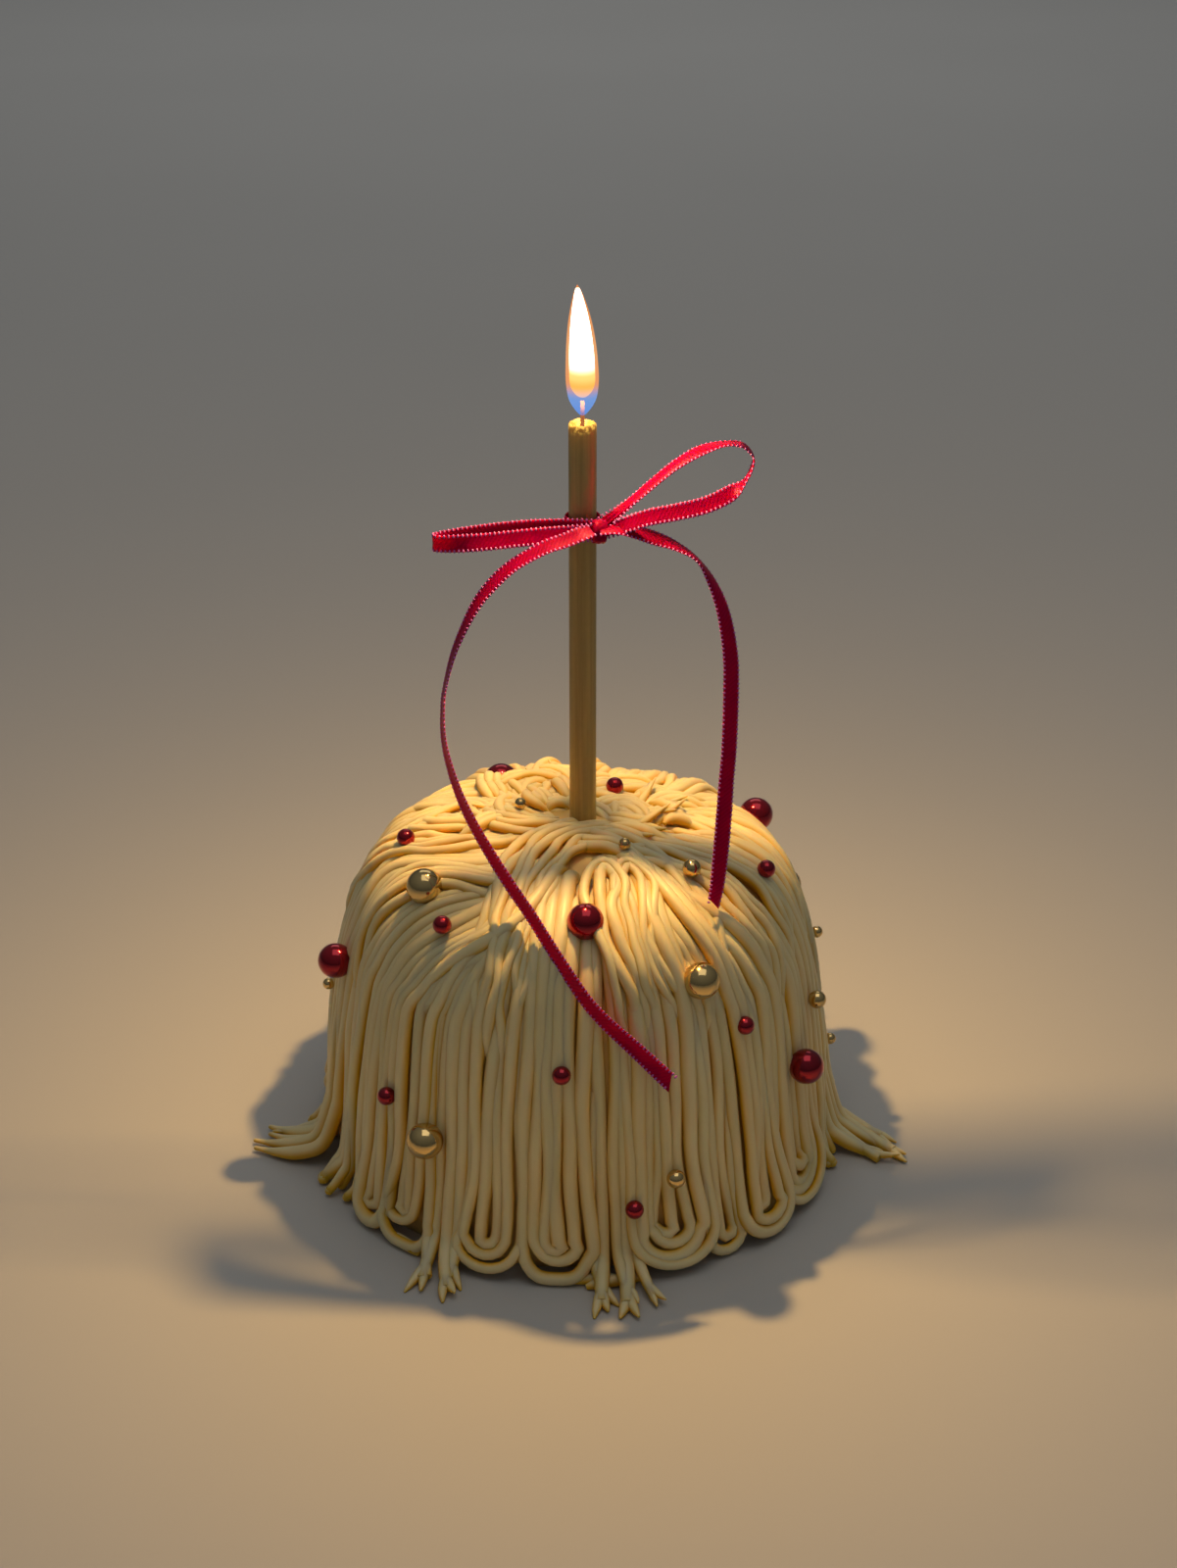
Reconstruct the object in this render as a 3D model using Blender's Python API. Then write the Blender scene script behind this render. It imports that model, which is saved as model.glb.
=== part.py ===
"""A birthday cake dressed with strands of piped cream.

A small round cake stands on its flat foot. Strands of cream run from its crown
over the shoulder and down the side: some turn back at the foot in nested loops,
and some end in fringes whose tips lie on the surface round the cake. Sugar
pearls sit in the cream. One candle, with its wick and flame, stands in the
crown, and a narrow ribbon is tied round it in a bow with two long free ends.

Metres, +Z up, with the origin at the middle of the foot. Azimuth 0 is the front
(-Y) and grows towards the right (+X), in degrees. Climb is the distance along
the cake's outline, from the foot to the middle of the crown. Lift is the height
off that outline, on which the ridges of the strands lie.
"""

import math
import random

import bmesh
import bpy
import numpy as np
from mathutils import Vector

MM = 0.001
FIT_GAP = 0.35 * MM
SEED = 11

# Outline of the cake, measured over the ridges of the strands
SIDE_RADIUS = 48.5 * MM
CROWN_HEIGHT = 70 * MM
OUTLINE_POWER = 4.5
FOOT_FLARE = 5 * MM
FLARE_POWER = 1.5
OUTLINE_STEPS = 360
CORE_DEPTH = 1.7 * MM
CORE_SIDES = 30
CORE_CLIMBS_MM = (0, 20, 51, 60, 69)
CAKE_TRIANGLES = 9600
HEAP_RADIUS = 21 * MM
HEAP_HEIGHT = 1.4 * MM

# Strands of cream
STRAND_WIDTH = 2.7 * MM
NOODLE_SIDES = 5
TIP_SIDES = 4
GROOVE_LIFT = -0.75 * MM
EDGE_LIFT = -1.25 * MM
BURIED_LIFT = -2.9 * MM
SUNK_LIFT = -1.6 * MM
LOOP_EYE = 0.5 * MM
LOOP_TURN_STEPS = 4
FOOT_BULGE = 1.6 * MM
BULGE_CLIMB = 16 * MM
CROWN_SPREAD = 0.2
SHOULDER_CLIMB = 60 * MM
ARM_CLIMBS_MM = (69, 60, 51)

# Loops round the foot: azimuth, number of nested lines, extra lift and lean on the crown
LOOPS = (
    (-45, 3, 0.0, 6),
    (-9.5, 5, 0.5, 10),
    (27.5, 4, 0.2, -8),
    (43, 1, 0.9, -4),
    (58.5, 3, 0.4, 6),
    (107, 4, 0.1, 8),
    (145, 5, 0.4, -6),
    (179, 3, 0.0, 7),
    (215, 5, 0.5, -8),
    (252, 4, 0.2, 6),
)

# Fringes: azimuth, number of strands, azimuth of the tips, radius of the tips
FRINGES = (
    (-78, 5, -84, 66.5),
    (-61, 3, -62, 57),
    (-29.5, 4, -25, 64),
    (11.5, 4, 9, 66.5),
    (72, 2, 72, 58),
    (84, 5, 79, 69),
    (126, 4, 127, 62),
    (165, 3, 163, 60),
    (193, 3, 196, 63),
    (234, 4, 231, 60),
    (269, 3, 270, 58),
)
FRINGE_CLIMBS_MM = (71, 60, 51, 13)
FRINGE_GRIP = 15 * MM
FRINGE_SPLAY = 0.85
TIP_RADIUS_SHARE = 0.35

# Short noodles of cream heaped round the candle
HEAP_NOODLES = 13
CROWN_CLIMB = 106.4 * MM
# Noodle of the heap: share of its length, lift in millimetres
HEAP_NOODLE_RISE = ((0, 1.2), (0.3, 2.1), (0.65, 1.4), (1, -0.9))

# Bundle across the crown: azimuth, climb and lift of its middle, both in millimetres
BUNDLE_LINES = 4
BUNDLE_ROUTE = ((60, 99, 0.6), (15, 98, 2.8), (-17, 93, 3.1), (-31, 84, 2.4), (-35, 74, 1.8),
                (-35, 65, 1.1), (-33, 57, -1))

# Candle, wick and flame
CANDLE_X = 1.3 * MM
CANDLE_RADIUS = 2.6 * MM
CANDLE_BOTTOM = 40 * MM
CANDLE_TOP = 152.5 * MM
CANDLE_CUP_DEPTH = 1.1 * MM
CANDLE_RIM = 0.55 * MM
CANDLE_SIDES = 20
WICK_RADIUS = 0.5 * MM
WICK_SOCKET_RADIUS = 0.85 * MM
WICK_BOTTOM = 149.8 * MM
WICK_TOP = 156.4 * MM
WICK_SIDES = 10
FLAME_BOTTOM = 153.7 * MM
FLAME_TOP = 177.8 * MM
FLAME_WIDTH = 5.9 * MM
FLAME_LEAN = -0.9 * MM
FLAME_SIDES = 12
# Flame outline: share of its height, share of its half width
FLAME_OUTLINE = ((0, 0.5), (0.12, 0.84), (0.25, 1), (0.42, 0.98), (0.6, 0.86),
                 (0.76, 0.65), (0.88, 0.4), (0.96, 0.18), (1, 0.04))

# Sugar pearls: colour, azimuth, climb in millimetres
LARGE_PEARL_RADIUS = 3.5 * MM
LARGE_PEARL_LIFT = 1.5 * MM
LARGE_PEARLS = (
    ("red", -75, 46.4),
    ("red", 3, 71.5),
    ("red", 60, 30.2),
    ("red", 116, 64.6),
    ("red", -140, 82.5),
    ("red", 158, 36),
    ("red", -112, 24),
    ("gold", -54, 71),
    ("gold", 31, 57.6),
    ("gold", -33, 25.1),
    ("gold", 136, 20),
    ("gold", -158, 52),
    ("gold", 118, 44),
)
MEDIUM_PEARL_RADIUS = 1.8 * MM
MEDIUM_PEARL_LIFT = 0.9 * MM
MEDIUM_PEARLS = (
    (-95, 73), (-41, 67), (79, 68), (41, 46.4), (-3, 43.3), (-45, 30.2), (12, 15.1),
    (154, 90), (52, 78), (72, 39.2), (21, 20.1), (128, 48), (172, 18), (-128, 40), (-170, 58),
)
SMALL_PEARL_RADIUS = 1.2 * MM
SMALL_PEARL_LIFT = 0.75 * MM
SMALL_PEARLS = ((-116, 94), (39, 91), (91, 45.4), (-87, 35.2), (87, 22.1), (144, 62), (-150, 28))

# Ribbon
RIBBON_WIDTH = 3.2 * MM
RIBBON_THICKNESS = 0.45 * MM
TIE_HEIGHT = 133 * MM
WRAP_THICKNESS = 0.5 * MM
KNOT_CENTRE = Vector((4.3, -4.7, 133)) * MM
KNOT_SIZE = Vector((4.6, 4.2, 4.6)) * MM
KNOT_BEVEL = 0.9 * MM
UPRIGHT = (0, 0, 1)
TILTED = (0, 0.6, 0.8)
LEVEL = (0, 1, 0)

# Routes of the ribbon in millimetres, each point with the direction of the ribbon's width
LEFT_LOOP = (
    ((4.6, -5.2, 133.2), UPRIGHT),
    ((0.5, -6.3, 133.2), UPRIGHT),
    ((-8.3, -7.3, 132.8), UPRIGHT),
    ((-17, -7.4, 131.9), UPRIGHT),
    ((-24.2, -6.8, 131.3), UPRIGHT),
    ((-26.4, -5.2, 131.1), UPRIGHT),
    ((-24.2, -3.6, 131.2), UPRIGHT),
    ((-17.1, -3.2, 132.2), UPRIGHT),
    ((-8.4, -3.4, 133.2), UPRIGHT),
    ((0.5, -4.0, 133.6), UPRIGHT),
    ((4.6, -4.3, 133.5), UPRIGHT),
)
RIGHT_LOOP = (
    ((4.4, -4.4, 133.9), TILTED),
    ((9.5, -4.1, 138), TILTED),
    ((14, -3.9, 141.9), TILTED),
    ((18.4, -3.6, 145.5), TILTED),
    ((22.9, -3.4, 148.1), TILTED),
    ((27.3, -3.4, 149.4), LEVEL),
    ((30.4, -3.5, 149.2), LEVEL),
    ((32.2, -3.6, 147.3), LEVEL),
    ((32.2, -3.7, 145.2), LEVEL),
    ((30.9, -3.8, 142.5), LEVEL),
    ((28.1, -4, 140), TILTED),
    ((23.8, -4.3, 138), TILTED),
    ((18.4, -4.6, 136.7), TILTED),
    ((13.2, -4.8, 135.7), TILTED),
    ((8.6, -4.9, 134.2), TILTED),
    ((4.4, -4.8, 132.9), TILTED),
)
LEFT_TAIL = (
    ((1.5, -7.4, 130), (0, 0.3, 0.95)),
    ((-1.7, -8.3, 129.6), (0, 0.35, 0.94)),
    ((-5, -8.9, 128.8), (-0.1, 0.4, 0.9)),
    ((-10.2, -9.7, 126.8), (-0.3, 0.6, 0.74)),
    ((-14.8, -11, 123.3), (-0.4, 0.75, 0.5)),
    ((-19.3, -13.2, 118.3), (-0.3, 0.9, 0.2)),
    ((-22.9, -16.2, 111.6), (-0.1, 0.92, -0.2)),
    ((-24.4, -19.2, 104.9), (0, 0.91, -0.35)),
    ((-24.5, -22, 98.7), (0.1, 0.91, -0.4)),
    ((-23.3, -24.9, 92.5), (0.2, 0.9, -0.35)),
    ((-20.8, -27.8, 86.3), (0.4, 0.85, -0.2)),
    ((-17.2, -30.7, 80.2), (0.55, 0.75, 0.1)),
    ((-12.5, -33.5, 74.3), (0.6, 0.6, 0.3)),
    ((-7.7, -37, 69.4), (0.65, 0.4, 0.5)),
    ((-2.2, -42.2, 63.2), (0.7, 0.3, 0.55)),
    ((4.1, -46.6, 55.3), (0.72, 0.24, 0.56)),
    ((11.3, -48.7, 47.2), (0.72, 0.22, 0.56)),
    ((16.3, -49, 41.6), (0.72, 0.22, 0.56)),
)
RIGHT_TAIL = (
    ((7.1, -5, 132.3), (0, 0.5, 0.85)),
    ((10, -5, 132.3), (0, 0.5, 0.85)),
    ((13.2, -4.8, 132.3), (0, 0.55, 0.82)),
    ((18.7, -4.7, 130.8), (0.2, 0.8, 0.5)),
    ((22.7, -5.4, 127.5), (0.5, 0.8, 0.3)),
    ((26, -7, 122.3), (0.8, 0.5, 0.2)),
    ((28.2, -9.7, 114.7), (1, 0.1, 0.1)),
    ((29, -12.5, 106.9), (1, 0, 0)),
    ((29, -14.7, 101), (1, 0, 0)),
    ((28.7, -16.9, 95), (1, 0, 0)),
    ((28.2, -19.1, 89), (1, 0, 0)),
    ((27.7, -21.3, 83), (1, 0, 0)),
    ((27.2, -23.8, 76), (1, 0, 0)),
    ((26.6, -26, 70.6), (1, 0, 0)),
    ((26, -27.9, 67.9), (1, 0.1, 0)),
)

# Colours (linear), roughness and metallic of each material
CREAM = ((0.84, 0.74, 0.55), 0.45, 0)
PEARL_RED = ((0.42, 0.01, 0.03), 0.25, 0.6)
PEARL_GOLD = ((0.72, 0.6, 0.36), 0.2, 1)
CANDLE_GOLD = ((0.42, 0.34, 0.16), 0.35, 0.8)
WICK_BROWN = ((0.12, 0.07, 0.04), 0.9, 0)
FLAME_YELLOW = ((1, 0.8, 0.35), 0.5, 0)
RIBBON_RED = ((0.6, 0.01, 0.06), 0.35, 0)


def clear_scene():
    """Remove every object, so that the model starts from nothing."""
    for item in list(bpy.data.objects):
        bpy.data.objects.remove(item, do_unlink=True)


def make_material(name, finish):
    """Principled material from a colour, a roughness and a metallic value."""
    colour, roughness, metallic = finish
    material = bpy.data.materials.new(name)
    material.use_nodes = True
    shader = material.node_tree.nodes["Principled BSDF"]
    shader.inputs["Base Color"].default_value = (*colour, 1)
    shader.inputs["Roughness"].default_value = roughness
    shader.inputs["Metallic"].default_value = metallic
    return material


def outline_table():
    """Radii, heights and climbs along the outline, from the foot to the crown."""
    angles = np.linspace(math.pi / 2, 0, OUTLINE_STEPS + 1)
    across = (np.sin(angles) / SIDE_RADIUS) ** OUTLINE_POWER
    upward = (np.cos(angles) / CROWN_HEIGHT) ** OUTLINE_POWER
    reach = (across + upward) ** (-1 / OUTLINE_POWER)
    heights = reach * np.cos(angles)
    above = np.clip(1 - heights / CROWN_HEIGHT, 0, 1)
    radii = reach * np.sin(angles) + FOOT_FLARE * above ** FLARE_POWER
    lengths = np.hypot(np.diff(radii), np.diff(heights))
    return radii, heights, np.concatenate(([0.0], np.cumsum(lengths)))


RADII, HEIGHTS, CLIMBS = outline_table()


def outline_at(climb):
    """Radius, height and outward direction (across, up) of the outline at a climb."""
    reach = 0.5 * MM
    low = max(climb - reach, 0)
    high = min(climb + reach, CLIMBS[-1])
    run = np.interp(high, CLIMBS, RADII) - np.interp(low, CLIMBS, RADII)
    rise = np.interp(high, CLIMBS, HEIGHTS) - np.interp(low, CLIMBS, HEIGHTS)
    length = math.hypot(run, rise)
    radius = float(np.interp(climb, CLIMBS, RADII))
    height = float(np.interp(climb, CLIMBS, HEIGHTS))
    return radius, height, rise / length, -run / length


def round_point(azimuth, radius, height):
    """Point at an azimuth, a distance from the cake's axis and a height."""
    turn = math.radians(azimuth)
    return Vector((radius * math.sin(turn), -radius * math.cos(turn), height))


def cream_point(azimuth, climb, lift=0.0):
    """Point on the cream, lifted off its outline."""
    radius, height, across, up = outline_at(climb)
    return round_point(azimuth, radius + across * lift, max(height + up * lift, 0.05 * MM))


def ease(value):
    """Smooth step from 0 to 1."""
    value = min(max(value, 0), 1)
    return value * value * (3 - 2 * value)


def smooth_path(points, steps):
    """Points on a smooth curve through the given ones, with steps points a span."""
    padded = [2 * points[0] - points[1], *points, 2 * points[-1] - points[-2]]
    path = []
    for before, start, end, after in zip(padded, padded[1:], padded[2:], padded[3:]):
        for step in range(steps):
            t = step / steps
            path.append(0.5 * (2 * start + (end - before) * t
                               + (2 * before - 5 * start + 4 * end - after) * t ** 2
                               + (3 * start - before - 3 * end + after) * t ** 3))
    path.append(points[-1].copy())
    return path


def tangents_of(path):
    """Unit direction of a path at each of its points."""
    ahead = path[1:] + path[-1:]
    behind = path[:1] + path[:-1]
    return [(b - a).normalized() for a, b in zip(behind, ahead)]


def swept_body(name, rings, collection):
    """Closed body through rings of points, with a flat end at each end."""
    shape = bmesh.new()
    loops = [[shape.verts.new(point) for point in ring] for ring in rings]
    for low, high in zip(loops, loops[1:]):
        for i, corner in enumerate(low):
            j = (i + 1) % len(low)
            shape.faces.new((corner, low[j], high[j], high[i]))
    shape.faces.new(loops[0])
    shape.faces.new(loops[-1])
    bmesh.ops.triangulate(shape, faces=shape.faces)
    bmesh.ops.recalc_face_normals(shape, faces=shape.faces)
    return body_from(name, shape, collection)


def body_from(name, shape, collection):
    """Object in a collection with the mesh of a finished bmesh."""
    mesh = bpy.data.meshes.new(name)
    shape.to_mesh(mesh)
    shape.free()
    body = bpy.data.objects.new(name, mesh)
    collection.objects.link(body)
    return body


def turned_body(name, profile, sides, collection, centre=(0, 0)):
    """Closed body turned round an upright axis from (radius, height) points.

    The first and the last point lie on the axis.
    """
    shape = bmesh.new()
    bottom = shape.verts.new((centre[0], centre[1], profile[0][1]))
    top = shape.verts.new((centre[0], centre[1], profile[-1][1]))
    rings = []
    for radius, height in profile[1:-1]:
        ring = []
        for side in range(sides):
            turn = math.tau * side / sides
            ring.append(shape.verts.new((centre[0] + radius * math.cos(turn),
                                         centre[1] + radius * math.sin(turn), height)))
        rings.append(ring)
    for side in range(sides):
        after = (side + 1) % sides
        shape.faces.new((bottom, rings[0][after], rings[0][side]))
        shape.faces.new((top, rings[-1][side], rings[-1][after]))
        for low, high in zip(rings, rings[1:]):
            shape.faces.new((low[side], low[after], high[after], high[side]))
    bmesh.ops.recalc_face_normals(shape, faces=shape.faces)
    return body_from(name, shape, collection)


def tube(name, path, radii, sides, collection):
    """Strand of cream along a path, with its own radius at each point."""
    rings = []
    for point, tangent, radius in zip(path, tangents_of(path), radii):
        across = tangent.cross(Vector((0, 0, 1)))
        if across.length < 0.2:
            across = tangent.cross(Vector((point.x, point.y, 0)).normalized())
        across.normalize()
        outward = across.cross(tangent)
        if outward.dot(Vector((point.x, point.y, 0.01))) < 0:
            across, outward = -across, -outward
        ring = []
        for side in range(sides):
            turn = math.tau * side / sides
            corner = point + radius * (math.sin(turn) * across + math.cos(turn) * outward)
            corner.z = max(corner.z, 0.1 * MM)
            ring.append(corner)
        rings.append(ring)
    return swept_body(name, rings, collection)


def ridge_section(lines, inner):
    """Cross-section of lines side by side, as (distance, lift), with its buried underside."""
    section = [(inner, EDGE_LIFT)]
    for line in range(lines):
        middle = inner + (line + 0.5) * STRAND_WIDTH
        section.append((middle, 0.0))
        section.append((middle + STRAND_WIDTH / 2, GROOVE_LIFT))
    outer = inner + lines * STRAND_WIDTH
    section[-1] = (outer, EDGE_LIFT)
    return section + [(outer, BURIED_LIFT), (inner, BURIED_LIFT)]


def raised(lift, extra):
    """Lift of a corner of a band; the underside stays buried."""
    return lift if lift == BURIED_LIFT else lift + extra


def loop_band(azimuth, lines, extra_lift, lean, chance, collection):
    """Nested lines of cream that run down the side, turn at the foot and run up again."""
    section = ridge_section(lines, LOOP_EYE)
    turn_climb = LOOP_EYE + lines * STRAND_WIDTH + 0.4 * MM
    climbs = [chance.uniform(84, 90) * MM] + [climb * MM for climb in ARM_CLIMBS_MM]
    climbs.append(turn_climb)
    leans = [lean + chance.uniform(-3, 3) for arm in range(2)]
    stations = [(-1, climb, 0) for climb in climbs]
    for step in range(1, LOOP_TURN_STEPS + 1):
        stations.append((0, turn_climb, math.pi * (1 + step / (LOOP_TURN_STEPS + 1))))
    stations += [(1, climb, 0) for climb in reversed(climbs)]
    rings = []
    for index, (side, climb, turn) in enumerate(stations):
        sunk = SUNK_LIFT if index in (0, len(stations) - 1) else 0
        ring = []
        for distance, lift in section:
            offset = distance * (side if side else math.cos(turn))
            height = climb + (0 if side else distance * math.sin(turn))
            crown = ease((height - SHOULDER_CLIMB) / (CROWN_CLIMB - SHOULDER_CLIMB))
            bulge = FOOT_BULGE * ease(1 - height / BULGE_CLIMB)
            swing = math.degrees(offset / SIDE_RADIUS) * (1 + CROWN_SPREAD * crown)
            swing += leans[side > 0] * crown
            ring.append(cream_point(azimuth + swing, height,
                                    raised(lift, bulge + extra_lift) + sunk))
        rings.append(ring)
    swept_body("loop_band", rings, collection)


def fringe(azimuth, strands, tip_azimuth, tip_radius_mm, chance, collection):
    """Strands side by side over the shoulder and down the side, then apart to their tips."""
    pitch = math.degrees(STRAND_WIDTH / SIDE_RADIUS)
    section = ridge_section(strands, -strands * STRAND_WIDTH / 2)
    lean = chance.uniform(-3, 3)
    rings = []
    for climb_mm in FRINGE_CLIMBS_MM:
        sunk = SUNK_LIFT if climb_mm == FRINGE_CLIMBS_MM[0] else 0
        swing = lean * ease((climb_mm - 50) / 20)
        rings.append([cream_point(azimuth + swing + math.degrees(distance / SIDE_RADIUS),
                                  climb_mm * MM, lift + sunk) for distance, lift in section])
    swept_body("fringe", rings, collection)
    for strand in range(strands):
        place = strand - (strands - 1) / 2
        tip_pitch = pitch * FRINGE_SPLAY * chance.uniform(0.85, 1.15)
        tip_radius = (tip_radius_mm - abs(place) * 0.9 + chance.uniform(-1.2, 1.2)) * MM
        fringe_tip(azimuth + place * pitch, tip_azimuth + place * tip_pitch, tip_radius, collection)


def fringe_tip(azimuth, tip_azimuth, tip_radius, collection):
    """Loose end of one strand, from the side down to its tip on the surface below."""
    radius = STRAND_WIDTH / 2
    side_radius, side_height, across, up = outline_at(FRINGE_GRIP)
    reach = tip_radius - side_radius
    path = [cream_point(azimuth, FRINGE_GRIP, -radius)]
    for share, height_mm in ((0.2, 5.2), (0.6, 1.8), (1, 0.8)):
        turn = azimuth + (tip_azimuth - azimuth) * share
        path.append(round_point(turn, side_radius + reach * share, height_mm * MM))
    tube("fringe_tip", path, [radius, radius, radius * 0.9, radius * TIP_RADIUS_SHARE],
         TIP_SIDES, collection)


def heap_noodle(azimuth, chance, collection):
    """Short noodle that leaves the candle, bends and sinks into the crown."""
    radius = STRAND_WIDTH / 2
    bend = chance.uniform(-40, 40)
    start = chance.uniform(4, 7) * MM
    reach = chance.uniform(13, 19) * MM
    path = []
    for share, lift in HEAP_NOODLE_RISE:
        turn = azimuth + bend * share ** 1.5
        path.append(cream_point(turn, CROWN_CLIMB - start - reach * share, lift * MM))
    tube("heap_noodle", path, [radius] * len(path), NOODLE_SIDES, collection)


def crown_bundle(collection):
    """Broad bundle that sweeps from the candle over the crown to the front left."""
    path = [cream_point(azimuth, climb * MM, lift * MM) for azimuth, climb, lift in BUNDLE_ROUTE]
    section = ridge_section(BUNDLE_LINES, -BUNDLE_LINES * STRAND_WIDTH / 2)
    rings = []
    for point, tangent in zip(path, tangents_of(path)):
        across = tangent.cross(Vector((0, 0, 1))).normalized()
        outward = across.cross(tangent).normalized()
        rings.append([point + distance * across + lift * outward for distance, lift in section])
    swept_body("crown_bundle", rings, collection)


def large_pearl(name, radius, azimuth, climb_mm, collection):
    """Pearl as large as a berry, or the room that it needs."""
    shape = bmesh.new()
    bmesh.ops.create_icosphere(shape, subdivisions=2, radius=radius)
    bmesh.ops.translate(shape, verts=shape.verts,
                        vec=cream_point(azimuth, climb_mm * MM, LARGE_PEARL_LIFT))
    return body_from(name, shape, collection)


def fused_pearl(radius, azimuth, climb_mm, lift, collection):
    """Small pearl that is one body with the cream, with a few faces."""
    shape = bmesh.new()
    bmesh.ops.create_uvsphere(shape, u_segments=5, v_segments=4, radius=radius)
    bmesh.ops.translate(shape, verts=shape.verts, vec=cream_point(azimuth, climb_mm * MM, lift))
    body_from("fused_pearl", shape, collection)


def cake_core(collection):
    """Body of the cake under the strands, with its flat foot and a low heap for a crown."""
    profile = [(0, 0), (RADII[0] - CORE_DEPTH, 0)]
    for climb_mm in CORE_CLIMBS_MM[1:]:
        radius, height, across, up = outline_at(climb_mm * MM)
        profile.append((radius - across * CORE_DEPTH, height - up * CORE_DEPTH))
    profile.append((HEAP_RADIUS, CROWN_HEIGHT - CORE_DEPTH))
    profile.append((HEAP_RADIUS * 0.55, CROWN_HEIGHT + HEAP_HEIGHT * 0.5))
    profile.append((0, CROWN_HEIGHT + HEAP_HEIGHT))
    return turned_body("cake", profile, CORE_SIDES, collection)


def apply_modifiers(body):
    """Give a body the mesh that its modifiers make."""
    bpy.context.view_layer.update()
    evaluated = body.evaluated_get(bpy.context.evaluated_depsgraph_get())
    mesh = bpy.data.meshes.new_from_object(evaluated)
    mesh.materials.clear()
    body.modifiers.clear()
    body.data = mesh


def keep_largest_piece(body):
    """Drop loose scraps and the walls of sealed hollows, which are pieces of their own."""
    shape = bmesh.new()
    shape.from_mesh(body.data)
    pieces = []
    unseen = set(shape.faces)
    while unseen:
        piece = [unseen.pop()]
        for face in piece:
            for edge in face.edges:
                for other in edge.link_faces:
                    if other in unseen:
                        unseen.remove(other)
                        piece.append(other)
        pieces.append(piece)
    pieces.sort(key=len)
    for piece in pieces[:-1]:
        corners = {corner for face in piece for corner in face.verts}
        bmesh.ops.delete(shape, geom=list(corners), context="VERTS")
    bmesh.ops.triangulate(shape, faces=shape.faces)
    shape.to_mesh(body.data)
    shape.free()


def apply_boolean(body, operation, collection):
    """Join a body with, or cut it by, every body of a collection, which is then removed."""
    boolean = body.modifiers.new(operation.lower(), "BOOLEAN")
    boolean.operation = operation
    boolean.operand_type = "COLLECTION"
    boolean.collection = collection
    boolean.solver = "MANIFOLD"
    apply_modifiers(body)
    keep_largest_piece(body)
    for helper in list(collection.objects):
        bpy.data.objects.remove(helper, do_unlink=True)
    bpy.data.collections.remove(collection)


def thin_out(body, triangles):
    """Take the flattest corners out of a body until it has this many triangles."""
    thinning = body.modifiers.new("thinning", "DECIMATE")
    thinning.ratio = min(triangles / len(body.data.polygons), 1)
    apply_modifiers(body)


def helper_collection(name):
    """Collection for the bodies that a Boolean reads."""
    collection = bpy.data.collections.new(name)
    bpy.context.scene.collection.children.link(collection)
    return collection


def make_cake():
    """Cake with its strands, noodles and small pearls fused, and sockets for the rest."""
    chance = random.Random(SEED)
    scene = bpy.context.scene.collection
    cake = cake_core(scene)
    cream = helper_collection("cream")
    for azimuth, lines, extra_lift_mm, lean in LOOPS:
        loop_band(azimuth, lines, extra_lift_mm * MM, lean, chance, cream)
    for azimuth, strands, tip_azimuth, tip_radius_mm in FRINGES:
        fringe(azimuth, strands, tip_azimuth, tip_radius_mm, chance, cream)
    for noodle in range(HEAP_NOODLES):
        azimuth = 360 * (noodle + chance.uniform(-0.3, 0.3)) / HEAP_NOODLES
        heap_noodle(azimuth, chance, cream)
    crown_bundle(cream)
    for azimuth, climb_mm in MEDIUM_PEARLS:
        fused_pearl(MEDIUM_PEARL_RADIUS, azimuth, climb_mm, MEDIUM_PEARL_LIFT, cream)
    for azimuth, climb_mm in SMALL_PEARLS:
        fused_pearl(SMALL_PEARL_RADIUS, azimuth, climb_mm, SMALL_PEARL_LIFT, cream)
    apply_boolean(cake, "UNION", cream)
    thin_out(cake, CAKE_TRIANGLES)
    sockets = helper_collection("sockets")
    for colour, azimuth, climb_mm in LARGE_PEARLS:
        large_pearl("socket", LARGE_PEARL_RADIUS + FIT_GAP * 1.1, azimuth, climb_mm, sockets)
    bore = CANDLE_RADIUS + FIT_GAP
    turned_body("bore", ((0, CANDLE_BOTTOM - FIT_GAP), (bore, CANDLE_BOTTOM - FIT_GAP),
                         (bore, CROWN_HEIGHT * 1.3), (0, CROWN_HEIGHT * 1.3)),
                CANDLE_SIDES, sockets, (CANDLE_X, 0))
    apply_boolean(cake, "DIFFERENCE", sockets)
    cake.data.materials.append(make_material("piped_cream", CREAM))


def make_large_pearls():
    """Pearls as large as berries, each a piece of its own in its socket."""
    finishes = {"red": make_material("pearl_red", PEARL_RED),
                "gold": make_material("pearl_gold", PEARL_GOLD)}
    counts = {"red": 0, "gold": 0}
    for colour, azimuth, climb_mm in LARGE_PEARLS:
        counts[colour] += 1
        body = large_pearl(f"pearl_{colour}_{counts[colour]}", LARGE_PEARL_RADIUS, azimuth,
                           climb_mm, bpy.context.scene.collection)
        body.data.materials.append(finishes[colour])
        body.data.shade_smooth()


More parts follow.
